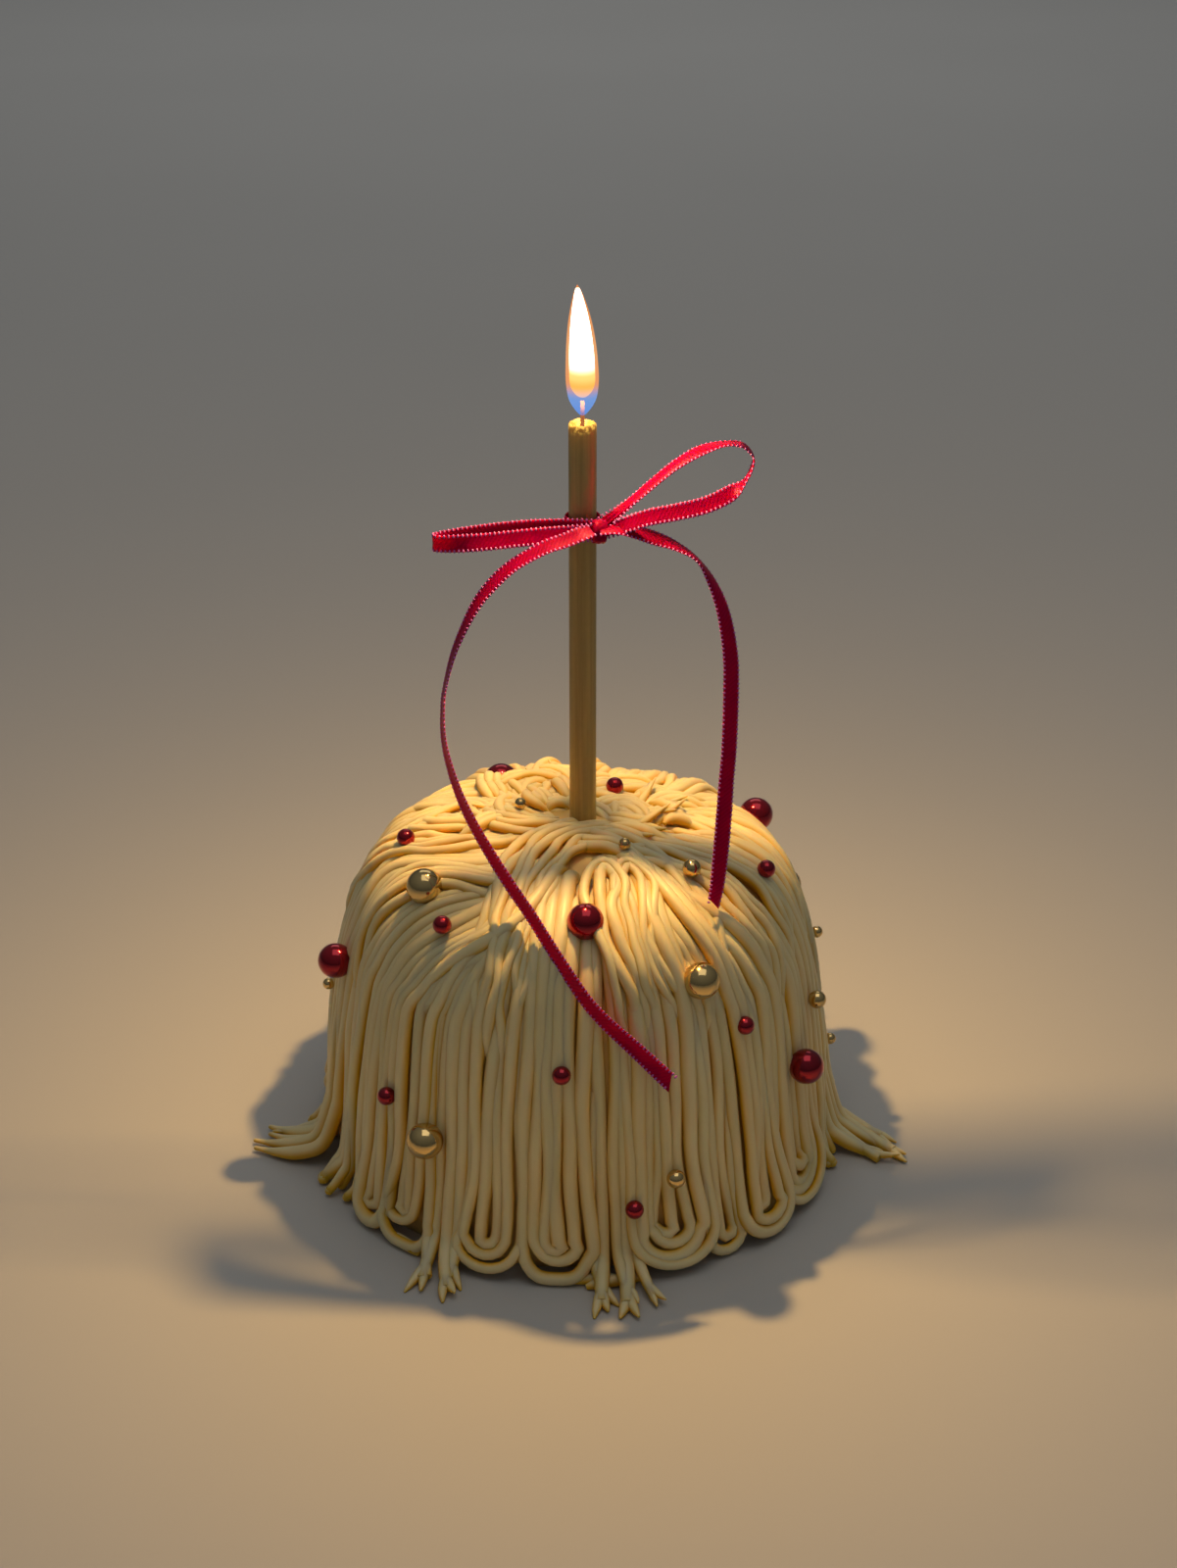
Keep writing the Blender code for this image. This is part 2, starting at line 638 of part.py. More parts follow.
def make_candle():
    """Thin candle with a melted cup, its wick, and the flame round the wick's end."""
    scene = bpy.context.scene.collection
    place = (CANDLE_X, 0)
    cup = CANDLE_TOP - CANDLE_CUP_DEPTH
    candle = turned_body("candle", (
        (0, CANDLE_BOTTOM), (CANDLE_RADIUS, CANDLE_BOTTOM), (CANDLE_RADIUS, CANDLE_TOP - 0.4 * MM),
        (CANDLE_RADIUS - 0.25 * MM, CANDLE_TOP), (CANDLE_RADIUS - CANDLE_RIM, CANDLE_TOP - 0.2 * MM),
        (CANDLE_RADIUS * 0.55, cup), (WICK_SOCKET_RADIUS, cup),
        (WICK_SOCKET_RADIUS, WICK_BOTTOM - FIT_GAP), (0, WICK_BOTTOM - FIT_GAP)),
        CANDLE_SIDES, scene, place)
    candle.data.materials.append(make_material("candle_gold", CANDLE_GOLD))
    wick = turned_body("wick", ((0, WICK_BOTTOM), (WICK_RADIUS, WICK_BOTTOM),
                                (WICK_RADIUS, WICK_TOP), (0, WICK_TOP)),
                       WICK_SIDES, scene, place)
    wick.data.materials.append(make_material("wick_brown", WICK_BROWN))
    height = FLAME_TOP - FLAME_BOTTOM
    ceiling = WICK_TOP + FIT_GAP
    profile = [(0, ceiling), (WICK_SOCKET_RADIUS, ceiling), (WICK_SOCKET_RADIUS, FLAME_BOTTOM)]
    for up, across in FLAME_OUTLINE:
        profile.append((FLAME_WIDTH / 2 * across, FLAME_BOTTOM + up * height))
    profile.append((0, FLAME_TOP))
    flame = turned_body("flame", profile, FLAME_SIDES, scene, place)
    for corner in flame.data.vertices:
        share = max(corner.co.z - ceiling, 0) / (FLAME_TOP - ceiling)
        corner.co.x += FLAME_LEAN * share ** 2
    flame.data.materials.append(make_material("flame_yellow", FLAME_YELLOW))


def ribbon_strip(name, route, collection, steps=2):
    """Flat ribbon along a route of points, each with the direction of its width."""
    path = smooth_path([Vector(point) * MM for point, width in route], steps)
    widths = smooth_path([Vector(width) for point, width in route], steps)
    rings = []
    for point, tangent, width in zip(path, tangents_of(path), widths):
        across = (width - width.dot(tangent) * tangent).normalized() * RIBBON_WIDTH / 2
        face = tangent.cross(across).normalized() * RIBBON_THICKNESS / 2
        rings.append([point - across - face, point + across - face,
                      point + across + face, point - across + face])
    return swept_body(name, rings, collection)


def make_ribbon():
    """Bow tied round the candle, and its two free ends."""
    scene = bpy.context.scene.collection
    finish = make_material("ribbon_red", RIBBON_RED)
    inner = CANDLE_RADIUS + FIT_GAP
    outer = inner + WRAP_THICKNESS
    low = TIE_HEIGHT - RIBBON_WIDTH / 2
    high = TIE_HEIGHT + RIBBON_WIDTH / 2
    shape = bmesh.new()
    rings = [[], [], [], []]
    for side in range(CANDLE_SIDES):
        turn = math.tau * side / CANDLE_SIDES
        for ring, (radius, height) in zip(rings, ((inner, low), (outer, low),
                                                  (outer, high), (inner, high))):
            ring.append(shape.verts.new((CANDLE_X + radius * math.cos(turn),
                                         radius * math.sin(turn), height)))
    for ring, after in zip(rings, rings[1:] + rings[:1]):
        for side in range(CANDLE_SIDES):
            turn = (side + 1) % CANDLE_SIDES
            shape.faces.new((ring[side], ring[turn], after[turn], after[side]))
    bmesh.ops.recalc_face_normals(shape, faces=shape.faces)
    bow = body_from("ribbon_bow", shape, scene)
    parts = helper_collection("bow_parts")
    ribbon_strip("left_loop", LEFT_LOOP, parts)
    ribbon_strip("right_loop", RIGHT_LOOP, parts, 1)
    knot = bmesh.new()
    bmesh.ops.create_cube(knot, size=1)
    bmesh.ops.scale(knot, vec=KNOT_SIZE, verts=knot.verts)
    bmesh.ops.translate(knot, vec=KNOT_CENTRE, verts=knot.verts)
    bmesh.ops.bevel(knot, geom=knot.edges, offset=KNOT_BEVEL, segments=1, affect="EDGES")
    body_from("knot", knot, parts)
    apply_boolean(bow, "UNION", parts)
    cutter = helper_collection("bow_cutter")
    turned_body("candle_room", ((0, low - RIBBON_WIDTH), (inner, low - RIBBON_WIDTH),
                                (inner, high + RIBBON_WIDTH), (0, high + RIBBON_WIDTH)),
                CANDLE_SIDES, cutter, (CANDLE_X, 0))
    apply_boolean(bow, "DIFFERENCE", cutter)
    bow.data.materials.append(finish)
    for name, route in (("ribbon_tail_left", LEFT_TAIL), ("ribbon_tail_right", RIGHT_TAIL)):
        tail = ribbon_strip(name, route, scene)
        tail.data.materials.append(finish)


def main():
    """Build every piece."""
    clear_scene()
    make_cake()
    make_large_pearls()
    make_candle()
    make_ribbon()


main()
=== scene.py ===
"""A small birthday cake dressed with strands of piped cream.

Strands of cream run from the crown over the shoulder and down the side. Some turn
back at the foot in nested loops, and some end there in torn tips. Sugar pearls sit
in the cream. One candle burns in the crown, and a narrow satin ribbon is tied round
it in a bow with two long free ends.

Metres, +Z up, with the origin at the middle of the foot. Azimuth 0 is the front
(-Y) and grows towards the right (+X), in degrees. Climb is the distance along the
cake's outline, from the foot to the middle of the crown. Lift is the height off
that outline, on which the ridges of the strands lie.
"""

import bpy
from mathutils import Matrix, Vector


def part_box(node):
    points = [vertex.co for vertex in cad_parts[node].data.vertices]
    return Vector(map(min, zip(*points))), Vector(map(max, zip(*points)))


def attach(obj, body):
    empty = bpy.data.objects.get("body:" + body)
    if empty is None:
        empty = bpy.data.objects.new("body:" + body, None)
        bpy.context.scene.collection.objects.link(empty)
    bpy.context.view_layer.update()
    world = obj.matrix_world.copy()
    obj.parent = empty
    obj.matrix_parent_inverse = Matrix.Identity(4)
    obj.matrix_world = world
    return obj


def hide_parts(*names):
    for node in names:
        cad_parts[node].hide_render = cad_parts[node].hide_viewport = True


bl_info = {
    "name": "Piped Cream Birthday Cake",
    "version": (1, 0, 0),
    "blender": (4, 5, 0),
    "location": "3D Viewport > Sidebar > Cake",
    "description": "Birthday cake of piped cream with pearls, a lit candle and a ribbon bow",
    "category": "Add Mesh",
}

import math
import random

import bmesh
import bpy
import numpy as np
from bpy.props import FloatProperty, FloatVectorProperty, IntProperty, PointerProperty
from mathutils import Vector

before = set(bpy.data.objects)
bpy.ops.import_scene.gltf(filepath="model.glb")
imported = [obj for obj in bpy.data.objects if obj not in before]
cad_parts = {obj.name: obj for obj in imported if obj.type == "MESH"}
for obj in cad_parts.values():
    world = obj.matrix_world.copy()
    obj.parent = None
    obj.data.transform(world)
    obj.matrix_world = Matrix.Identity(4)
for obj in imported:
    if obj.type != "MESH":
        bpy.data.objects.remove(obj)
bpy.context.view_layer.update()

MM = 0.001
BODY = "root"

# Outline of the cake, measured over the ridges of the strands
SIDE_RADIUS = 48.5 * MM
CROWN_HEIGHT = 70 * MM
OUTLINE_POWER = 4.5
FOOT_FLARE = 5 * MM
FLARE_POWER = 1.5
OUTLINE_STEPS = 720

# Camera
CAMERA_PLACE = (2.4 * MM, -415.9 * MM, 280.9 * MM)
CAMERA_PITCH = 25.9
CAMERA_LENS = 54.07

# Loops round the foot: azimuth, nested lines, extra lift, and how high the left and
# the right arm lie on the crown, in millimetres
LOOPS = (
    (-49.5, 2, -0.1, 0.8, 0.4), (-39, 3, 0.5, 1.5, 0.6), (-18, 3, 0.2, 1.6, 0.5),
    (-4.5, 3, 0.9, 1.2, 0.3), (19.5, 4, 0.6, 0.9, 1.7), (32, 2, 0.1, 0.5, 0.9), (43, 3, 0.7, 1.4, 0.3),
    (57.5, 4, 0.2, 1.2, 0.5), (96, 3, 0.1, 1.2, 0.4), (111, 4, 0.4, 0.8, 0.2),
    (138.5, 3, 0.4, 1.5, 0.4), (154.5, 4, 0.0, 0.6, 1.0), (180, 3, 0.3, 1.3, 0.6),
    (205.5, 3, 0.5, 0.3, 1.6), (220, 3, 0.1, 1.0, 0.5), (244, 3, 0.3, 0.5, 1.3),
    (257, 3, 0.0, 0.8, 0.4),
)

# Fringes: azimuth, strands, azimuth and radius of the tips, height on the crown, how far
# the tips spread and how they end
FRINGES = (
    (-76.5, 5, -84, 70.5, 1.3, 0.5, "pointed"),
    (-61, 6, -62, 59.5, 0.6, 0.95, "blunt"),
    (-29, 4, -25.5, 64, 1.0, 0.95, "torn"),
    (8, 5, 8, 66.5, 1.2, 0.9, "torn"),
    (74, 3, 73, 58, 1.1, 1.0, "blunt"),
    (84, 5, 79, 69.5, 0.7, 0.6, "torn"),
    (126, 5, 127, 62, 0.8, 0.8, "torn"),
    (167.5, 4, 165, 60, 0.2, 0.9, "torn"),
    (193, 4, 196, 63, 1.0, 0.9, "torn"),
    (232, 5, 230, 60, 0.9, 0.8, "torn"),
    (270, 5, 271, 58, 0.6, 0.9, "blunt"),
)

# Body of cream under the strands: how far it takes the painted crevice shade, how deep
# it lies, and its top as radius and rise over the crown in millimetres
CORE_SHADE_SHARE = 0.55
CORE_SUNK = -2.1 * MM
CORE_TOP_MM = ((17, -0.6), (11, 0.7), (5, 1.4), (0, 1.6))

# Strands on the side: step along them, where they bend on to the crown and over what
# length, how deep and over what length their tops sink in, and where a fringe lets go
STRAND_STEP = 0.6 * MM
CROWN_START = 54 * MM
CROWN_SPAN = 16 * MM
SINK_DEPTH = 3.4 * MM
SINK_LENGTH = 7 * MM
FRINGE_GRIP = 15 * MM

# Share of its thickness that a strand of a fringe keeps at its end
ENDINGS = {"torn": 0.8, "blunt": 0.82, "pointed": 0.3}

# Short pieces on the surface round the cake: azimuths and radii of their two ends
SCRAPS = (((-3, 9), (54.5, 55.2)), ((2, 14), (56.6, 55)), ((-41, -33), (54.6, 55.4)))

# Combing of the crown: azimuth on the side, and how far the strands there have swept
# round at the shoulder and at the top of the crown, in degrees
COMBING = (
    (-120, 6, -4), (-102, -2, 8), (-86, 3, 27), (-70, 2, 38), (-59, 15, 45), (-50, 20, 34),
    (-45, 25, 35), (-30, 8, 12), (-20, 0, -4), (6, 1, 4), (17, -1, 2), (31, -4, 3), (38, -6, -6),
    (45, -12, -20), (57, -11, -25), (70, -4, -10), (78, 3, 5), (100, 10, 12), (125, 5, -8),
    (150, -8, -22), (175, -3, 6), (200, 7, 22), (222, 3, -5),
)
COMB_CLIMBS_MM = (48, 60, 70, 86, 102)

# Tresses that lie on top of the crown: number of strands, then azimuth, climb and
# lift of the middle one, in millimetres
TRESS_STEPS = 14
TOP_TRESSES = (
    (7, ((75, 99, 0.8), (27, 100.7, 2.6), (-19, 97.4, 3.2), (-24, 87.6, 3.0), (-22, 77, 2.3),
         (-20, 69.4, 1.7), (-20, 63.5, 1.2), (-20, 57.8, 0.7), (-20, 50, 0.1), (-20, 43, -1.6))),
    (3, ((75, 98, 0.7), (42, 96, 1.9), (32, 86.3, 2.1), (26.5, 76.2, 1.7), (26, 67.8, 1.1),
         (28, 60.8, 0.4), (30, 53.5, 0.3), (31, 46, -1.6))),
    (2, ((13, 47, -1.4), (12, 55.5, 1.4), (11, 60.4, 1.9), (8, 66.9, 2.4), (6, 73.4, 2.9),
         (7, 80.4, 3.6), (14, 84.2, 4.0), (18.5, 79.6, 3.6), (14, 72.9, 2.9), (14, 66.4, 2.4),
         (16, 59.9, 1.9), (18, 54.9, 0.4), (19, 47, -1.5))),
    (2, ((17, 50, -1.4), (17, 59, 1.7), (16, 65.6, 2.3), (16, 71.7, 2.9), (19, 80.8, 3.7),
         (26.5, 84.4, 4.1), (29.5, 78.8, 3.6), (22, 72.2, 2.9), (20, 65.9, 2.4), (23, 59, 1.8),
         (25, 53.7, 0.3), (26, 47, -1.5))),
    (5, ((20, 92, 0.8), (45, 86, 2), (52, 76, 1.9), (54, 67, 1.5), (56, 58, 0.9), (57, 49, -0.4),
         (57, 42, -1.7))),
    (5, ((-80, 97, 1.2), (-62, 90, 1.9), (-72, 80, 1.9), (-84, 71, 1.5), (-92, 61, 1), (-94, 52, 0),
         (-94, 46, -1.6))),
    (4, ((-28, 80, 1.6), (-48, 77.5, 2.1), (-61, 72, 1.9), (-67, 65, 1.4), (-69, 57, 0.7),
         (-69, 49, -0.6), (-69, 44, -1.6))),
    (5, ((110, 94, 1.1), (100, 86, 1.2), (90, 77, 1.0), (85, 68, 0.8), (84, 59, 0.4), (84, 50, -0.5),
         (84, 45, -1.6))),
    (5, ((150, 98, 0.8), (135, 89, 1.2), (140, 79, 1.0), (150, 70, 0.8), (154, 60, 0.5),
         (154, 50, -0.6), (154, 45, -1.6))),
    (5, ((-150, 97, 0.7), (-168, 90, 1.1), (178, 80, 1.0), (174, 70, 0.8), (176, 60, 0.5),
         (177, 50, -0.6), (177, 45, -1.6))),
    (5, ((-120, 98, 1.6), (-132, 89, 2.3), (-126, 79, 2), (-120, 70, 1.5), (-122, 60, 0.9),
         (-123, 50, -0.6), (-123, 45, -1.6))),
    (4, ((-40, 101.5, 1.6), (-95, 97, 2.9), (-112, 89, 2.8), (-108, 81, 2.4), (-112, 73, 1.8),
         (-113, 65, 1.1), (-113, 57, -0.3), (-113, 51, -1.6))),
    (4, ((-170, 102.5, 1.6), (-125, 96, 3.3), (-133, 88, 2.6), (-151, 80, 1.8), (-152, 72, 1.4),
         (-152, 63, 0.5), (-152, 56, -1.5))),
    (4, ((-60, 103, 1.8), (-74, 95, 3.4), (-92, 88, 3.1), (-104, 84.5, 2.9), (-99, 78, 2.2),
         (-96, 71, 1.6), (-97, 63, 0.6), (-97, 57, -1.4))),
    (3, ((-112, 80, -1.0), (-127, 84.3, 3.1), (-140, 87.6, 4.9), (-155, 89, 4.6), (-172, 90, 2.8),
         (-190, 94, 0.4))),
    (4, ((60, 102.5, 1.4), (66, 95, 2.6), (63, 86, 2.4), (69, 77, 1.9), (71, 69, 1.4),
         (71, 60, 0.8), (71, 52, -0.5), (71, 46, -1.6))),
    (4, ((150, 102.5, 0.8), (116, 96, 1.5), (110, 87, 1.3), (117, 78, 1.0), (122, 70, 0.7),
         (123, 62, 0.3), (123, 56, -1.5))),
    (4, ((-10, 103.2, 1.2), (10, 98.5, 2.9), (34, 93, 3.4), (41, 85, 2.7), (40, 76, 2.1),
         (39, 68, 1.5), (38, 60, 0.9), (38, 52, 0.1), (38, 46, -1.6))),
    (4, ((175, 103, 0.8), (150, 97, 1.3), (168, 88, 1.3), (190, 80, 1.1), (197, 71, 0.8),
         (198, 62, 0.3), (198, 54, -1.5))),
    (3, ((-84, 95, 0.9), (-87, 86, 2.0), (-93, 78, 1.8), (-100, 70, 1.1), (-102, 61, -1.5))),
    (4, ((126, 90, 0.4), (146, 93.5, 1.9), (168, 95, 2.4), (192, 95, 2.3), (214, 93, 1.8),
         (234, 90, 0.4))),
)

# Torn points that stand up from the crown: azimuth and climb in millimetres
SPIKES = ((62, 92), (74, 90.5), (84, 92.5), (92, 89), (101, 91.5), (110, 88), (118, 91),
          (-170, 87), (-158, 91), (-150, 94), (-105, 90))

# Beds of short noodles on the crown: azimuth, climb and rise, each from and to
NOODLE_BEDS = (
    ((75, 190), (88, 102), (0.8, 1.7)),
    ((-185, -85), (85, 102), (1.6, 3.6)),
    ((-185, -85), (85, 102), (1.6, 3.6)),
)

# Sugar pearls that are pressed into the cream: colour, azimuth, climb and lift in millimetres
MEDIUM_PEARL_RADIUS = 1.8 * MM
MEDIUM_PEARLS = (
    ("red", -83, 73.3, 2.3), ("red", -38.5, 66.3, 2.0), ("red", 73, 68, 2.0),
    ("red", 41, 46.4, 0.9), ("red", -3, 43.3, 0.9), ("red", -45, 30.2, 0.9),
    ("red", 12, 15.1, 1.3), ("red", 148, 92, 2.6), ("gold", 47, 77, 2.9),
    ("gold", 72, 39.2, 0.9), ("gold", 21, 20.1, 1.2), ("red", 128, 48, 0.9),
    ("gold", 172, 18, 0.9), ("red", -128, 40, 0.9), ("gold", -170, 58, 0.9),
)
SMALL_PEARL_RADIUS = 1.2 * MM
SMALL_PEARLS = (
    ("gold", -96, 95.4, 4.1), ("gold", 32, 89, 3.6), ("gold", 91, 45.4, 0.75),
    ("gold", -87, 35.2, 0.75), ("gold", 87, 22.1, 0.9), ("gold", 144, 62, 1.6),
    ("gold", -150, 28, 0.75),
)

# Candle, wick and flame
CANDLE_LOW, CANDLE_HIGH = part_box("candle")
CANDLE_CENTRE = (CANDLE_LOW + CANDLE_HIGH) / 2
CANDLE_RADIUS = 2.6 * MM
FLAME_LOW, FLAME_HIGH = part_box("flame")
WICK_LOW, WICK_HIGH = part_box("wick")
WICK_TWIST = 2.6 * MM
WICK_THREAD = 0.24 * MM
FLAME_LEAN = -0.9 * MM
FLAME_EVENNESS = 0.005
FLAME_GLOW = (1.0, 0.58, 0.19)
FLAME_LIGHT_RADIUS = 3.0 * MM
FLAME_OUTLINE = ((0, 0.5), (0.12, 0.84), (0.25, 1), (0.42, 0.98), (0.6, 0.86),
                 (0.76, 0.65), (0.88, 0.4), (0.96, 0.18), (1, 0.0))

# Colours of the flame's veil and of its heart, by share of its height
VEIL_STOPS = ((0.0, (0.10, 0.30, 0.9)), (0.14, (0.16, 0.36, 0.85)), (0.26, (1.0, 0.35, 0.10)),
              (0.5, (1.0, 0.42, 0.14)), (1.0, (1.0, 0.30, 0.06)))
HEART_STOPS = ((0.12, (0.05, 0.06, 0.1)), (0.17, (0.13, 0.07, 0.026)),
               (0.24, (0.13, 0.068, 0.01)), (0.32, (0.16, 0.112, 0.03)), (0.48, (1.0, 0.9, 0.66)))

# Rim of the candle: share of its radius, and depth under its top in millimetres
CANDLE_RIM = ((1, 1.6), (0.995, 0.6), (0.97, 0.2), (0.9, 0), (0.82, 0.12), (0.72, 0.5),
              (0.55, 1.0), (0.3, 1.0), (0, 1.0))

# Floor, surrounding light and broad lights: name, place, size, share of power and colour
FLOOR_REACH = 12.0
SKY_COLOUR = (0.93, 0.97, 1.0, 1)
HORIZON_SHARE = 0.35
BROAD_LIGHTS = (
    ("soft_light", (0.08, -0.1, 1.1), 0.8, 1.0, (1.0, 0.93, 0.84)),
    ("back_light", (0, 1.6, 1.1), 1.2, 2.1, (1.0, 0.97, 0.93)),
)

# Ribbon
STITCH_LENGTH = 0.8 * MM
STITCH_RELIEF = 0.12 * MM
STITCH_INSET = 0.2 * MM
STITCH_RISE = 0.02 * MM
ROUTE_STEPS = 7
STRIP_SHARES = (-1, -0.96, -0.7, -0.35, 0, 0.35, 0.7, 0.96, 1)
STRIP_CUP = 0.16 * MM
KNOT_CENTRE = Vector((4.3, -4.7, 133)) * MM
KNOT_REACH = 1.75 * MM
KNOT_RISE = 1.95 * MM
TIE_HEIGHT = 133 * MM
TIE_REACH = CANDLE_RADIUS + 0.6 * MM
UPRIGHT = (0, 0, 1)
TILTED = (0, 0.6, 0.8)
TURNED = (0, 0.93, 0.37)
LEANING = (0, 0.5, 0.87)
LEVEL = (0, 1, 0)

# Routes of the ribbon: each point in millimetres, then the direction of the ribbon's width
LEFT_LOOP = (
    (4.6, -5.2, 133.2, *UPRIGHT), (0.5, -6.3, 133.2, *LEANING), (-8.3, -7.3, 132.8, *LEANING),
    (-17, -7.4, 131.9, *LEANING), (-24.2, -6.8, 131.3, *UPRIGHT), (-26.4, -5.2, 131.1, *UPRIGHT),
    (-24.2, -3.6, 131.2, *UPRIGHT), (-17.1, -3.2, 132.2, *UPRIGHT), (-8.4, -3.4, 133.2, *UPRIGHT),
    (0.5, -4.0, 133.6, *UPRIGHT), (4.6, -4.3, 133.5, *UPRIGHT),
)
RIGHT_LOOP = (
    (4.4, -4.4, 133.9, *TILTED), (9.5, -2.9, 137.5, *TURNED), (14, -2.0, 141.2, *TURNED),
    (18.4, -1.7, 144.8, *TURNED), (22.9, -1.6, 147.5, *TURNED), (27.3, -1.9, 148.9, *LEVEL),
    (30.4, -2.6, 148.9, *LEVEL), (32.2, -3.5, 147.3, *LEVEL), (32.2, -4.5, 145.5, *LEVEL),
    (30.9, -5.5, 143.1, *LEVEL), (28.1, -6.3, 140.8, *TILTED), (23.8, -6.7, 138.8, *TILTED),
    (18.4, -6.9, 137.5, *TILTED), (13.2, -6.5, 136.3, *TILTED), (8.6, -5.6, 134.4, *TILTED),
    (4.4, -4.8, 132.9, *TILTED),
)
LEFT_TAIL = (
    (3.0, -6.9, 134.0, -0.45, 0.85, 0.29), (0.9, -7.9, 133.6, -0.40, 0.75, 0.53),
    (-1.8, -8.6, 132.7, -0.34, 0.77, 0.54), (-4.9, -9.1, 131.8, -0.30, 0.83, 0.47),
    (-7.9, -9.5, 130.4, -0.33, 0.84, 0.42), (-11.5, -10.0, 128.3, -0.41, 0.84, 0.35),
    (-14.8, -10.8, 125.5, -0.51, 0.81, 0.28), (-17.9, -11.8, 121.9, -0.51, 0.86, 0.10),
    (-20.4, -13.2, 117.6, -0.42, 0.91, -0.08), (-22.6, -14.8, 112.6, -0.32, 0.93, -0.19),
    (-24.0, -16.5, 107.6, -0.27, 0.88, -0.40), (-24.5, -19.2, 104.3, -0.26, 0.83, -0.50),
    (-24.3, -22.0, 98.6, -0.31, 0.84, -0.45), (-22.6, -24.9, 92.4, -0.42, 0.75, -0.51),
    (-19.9, -27.8, 86.4, -0.50, 0.65, -0.57), (-16.1, -30.7, 80.2, -0.55, 0.56, -0.62),
    (-12.1, -33.5, 74.5, -0.54, 0.47, -0.70), (-8.0, -37.0, 69.6, -0.50, 0.43, -0.75),
    (-2.9, -42.2, 63.3, -0.54, 0.42, -0.73), (3.4, -46.6, 55.5, -0.60, 0.36, -0.72),
    (11.8, -48.9, 47.7, -0.69, 0.06, -0.72), (17.5, -49.4, 41.8, -0.71, -0.23, -0.67),
)
RIGHT_TAIL = (
    (4.5, -6.2, 133.8, -0.12, 0.96, 0.25), (7.7, -5.8, 133.8, -0.10, 0.96, 0.26),
    (11.0, -5.3, 133.1, 0.03, 0.88, 0.48), (14.6, -4.9, 131.8, 0.15, 0.83, 0.54),
    (18.6, -4.8, 130.2, 0.12, 0.97, 0.20), (22.5, -5.0, 127.6, 0.07, 0.99, -0.10),
    (25.4, -6.0, 123.3, 0.47, 0.88, -0.03), (27.5, -8.0, 118.2, 0.75, 0.67, -0.03),
    (28.8, -10.3, 111.3, 0.88, 0.47, -0.07), (29.0, -12.8, 105.4, 0.91, 0.38, -0.16),
    (28.7, -16.9, 95.1, 0.89, 0.41, -0.20), (28.2, -19.1, 89.0, 0.89, 0.40, -0.21),
    (27.8, -21.3, 82.9, 0.92, 0.35, -0.19), (27.2, -23.8, 75.9, 0.92, 0.34, -0.21),
    (26.6, -26.0, 70.6, 0.83, 0.43, -0.35), (25.9, -27.9, 67.5, 0.71, 0.52, -0.48),
)


def distance(name, description, size_mm):
    """Property for a size."""
    return FloatProperty(name=name, description=description, default=size_mm * MM,
                         subtype="DISTANCE", unit="LENGTH")


def tint(name, description, colour):
    """Property for a colour."""
    return FloatVectorProperty(name=name, description=description, default=colour,
                               subtype="COLOR", min=0, max=1)


def power(name, description, watts):
    """Property for the power of a light."""
    return FloatProperty(name=name, description=description, default=watts, min=0,
                         subtype="POWER", unit="POWER")


class CakeCreamSettings(bpy.types.PropertyGroup):
    """Sizes and colours of the piped cream."""

    strand_width: distance("Strand width", "Distance between neighbouring strands", 2.02)
    girth: distance("Strand radius", "Radius of a strand of cream", 1.28)
    loop_eye: distance("Loop eye", "Half the gap inside the innermost line of a loop", 0.5)
    sway: distance("Sway", "How far a strand wanders from its straight way", 0.5)
    spacing: distance("Section spacing", "Distance between the cross-sections of a strand", 1.5)
    sides: IntProperty(
        name="Sides", description="Sides of a strand's cross-section", default=10, min=6, max=24)
    noodles: IntProperty(
        name="Short noodles", description="Short noodles heaped round the candle",
        default=44, min=0, max=160)
    seed: IntProperty(name="Seed", description="Seed of the cream's unevenness", default=7)
    ivory: tint("Cream", "Colour of the ridges of the cream", (0.86, 0.735, 0.43))
    # Painted shade: a darker, deeper yellow for the shade that falls between the strands
    deep: tint("Crevice", "Colour deep between the strands", (0.82, 0.47, 0.008))


class CakePearlSettings(bpy.types.PropertyGroup):
    """Colours and fineness of the sugar pearls."""

    segments: IntProperty(
        name="Segments", description="Faces round a pearl", default=40, min=12, max=64)
    red: tint("Red pearls", "Colour of the red pearls", (0.36, 0.006, 0.022))
    gold: tint("Gold pearls", "Colour of the gold pearls", (0.78, 0.56, 0.24))


class CakeCandleSettings(bpy.types.PropertyGroup):
    """Colours of the candle and the brightness of its flame."""

    sides: IntProperty(
        name="Sides", description="Faces round the candle", default=64, min=16, max=128)
    gold: tint("Candle", "Colour of the candle's gold coat", (0.56, 0.43, 0.17))
    flame_brightness: FloatProperty(
        name="Flame brightness", description="Strength of the flame's own light",
        default=9.0, min=0)
    flame_power: power("Flame light", "Power of the light that the flame throws", 1.25)


class CakeRibbonSettings(bpy.types.PropertyGroup):
    """Sizes and colours of the ribbon."""

    width: distance("Width", "Width of the ribbon", 3.2)
    thickness: distance("Thickness", "Thickness of the ribbon", 0.34)
    stitch_pitch: distance("Stitch pitch", "Distance between the stitches along an edge", 0.85)
    satin: tint("Satin", "Colour of the ribbon's face", (0.26, 0.0, 0.04))
    thread: tint("Thread", "Colour of the stitched edges", (0.62, 0.17, 0.65))


class CakeStageSettings(bpy.types.PropertyGroup):
    """Colours and lights round the cake."""

    floor: tint("Floor", "Colour of the floor", (0.51, 0.51, 0.5))
    soft_power: power("Soft light", "Power of the broad light from above", 1.6)
    sky: FloatProperty(
        name="Surrounding light", description="Strength of the light from all round",
        default=0.165, min=0)


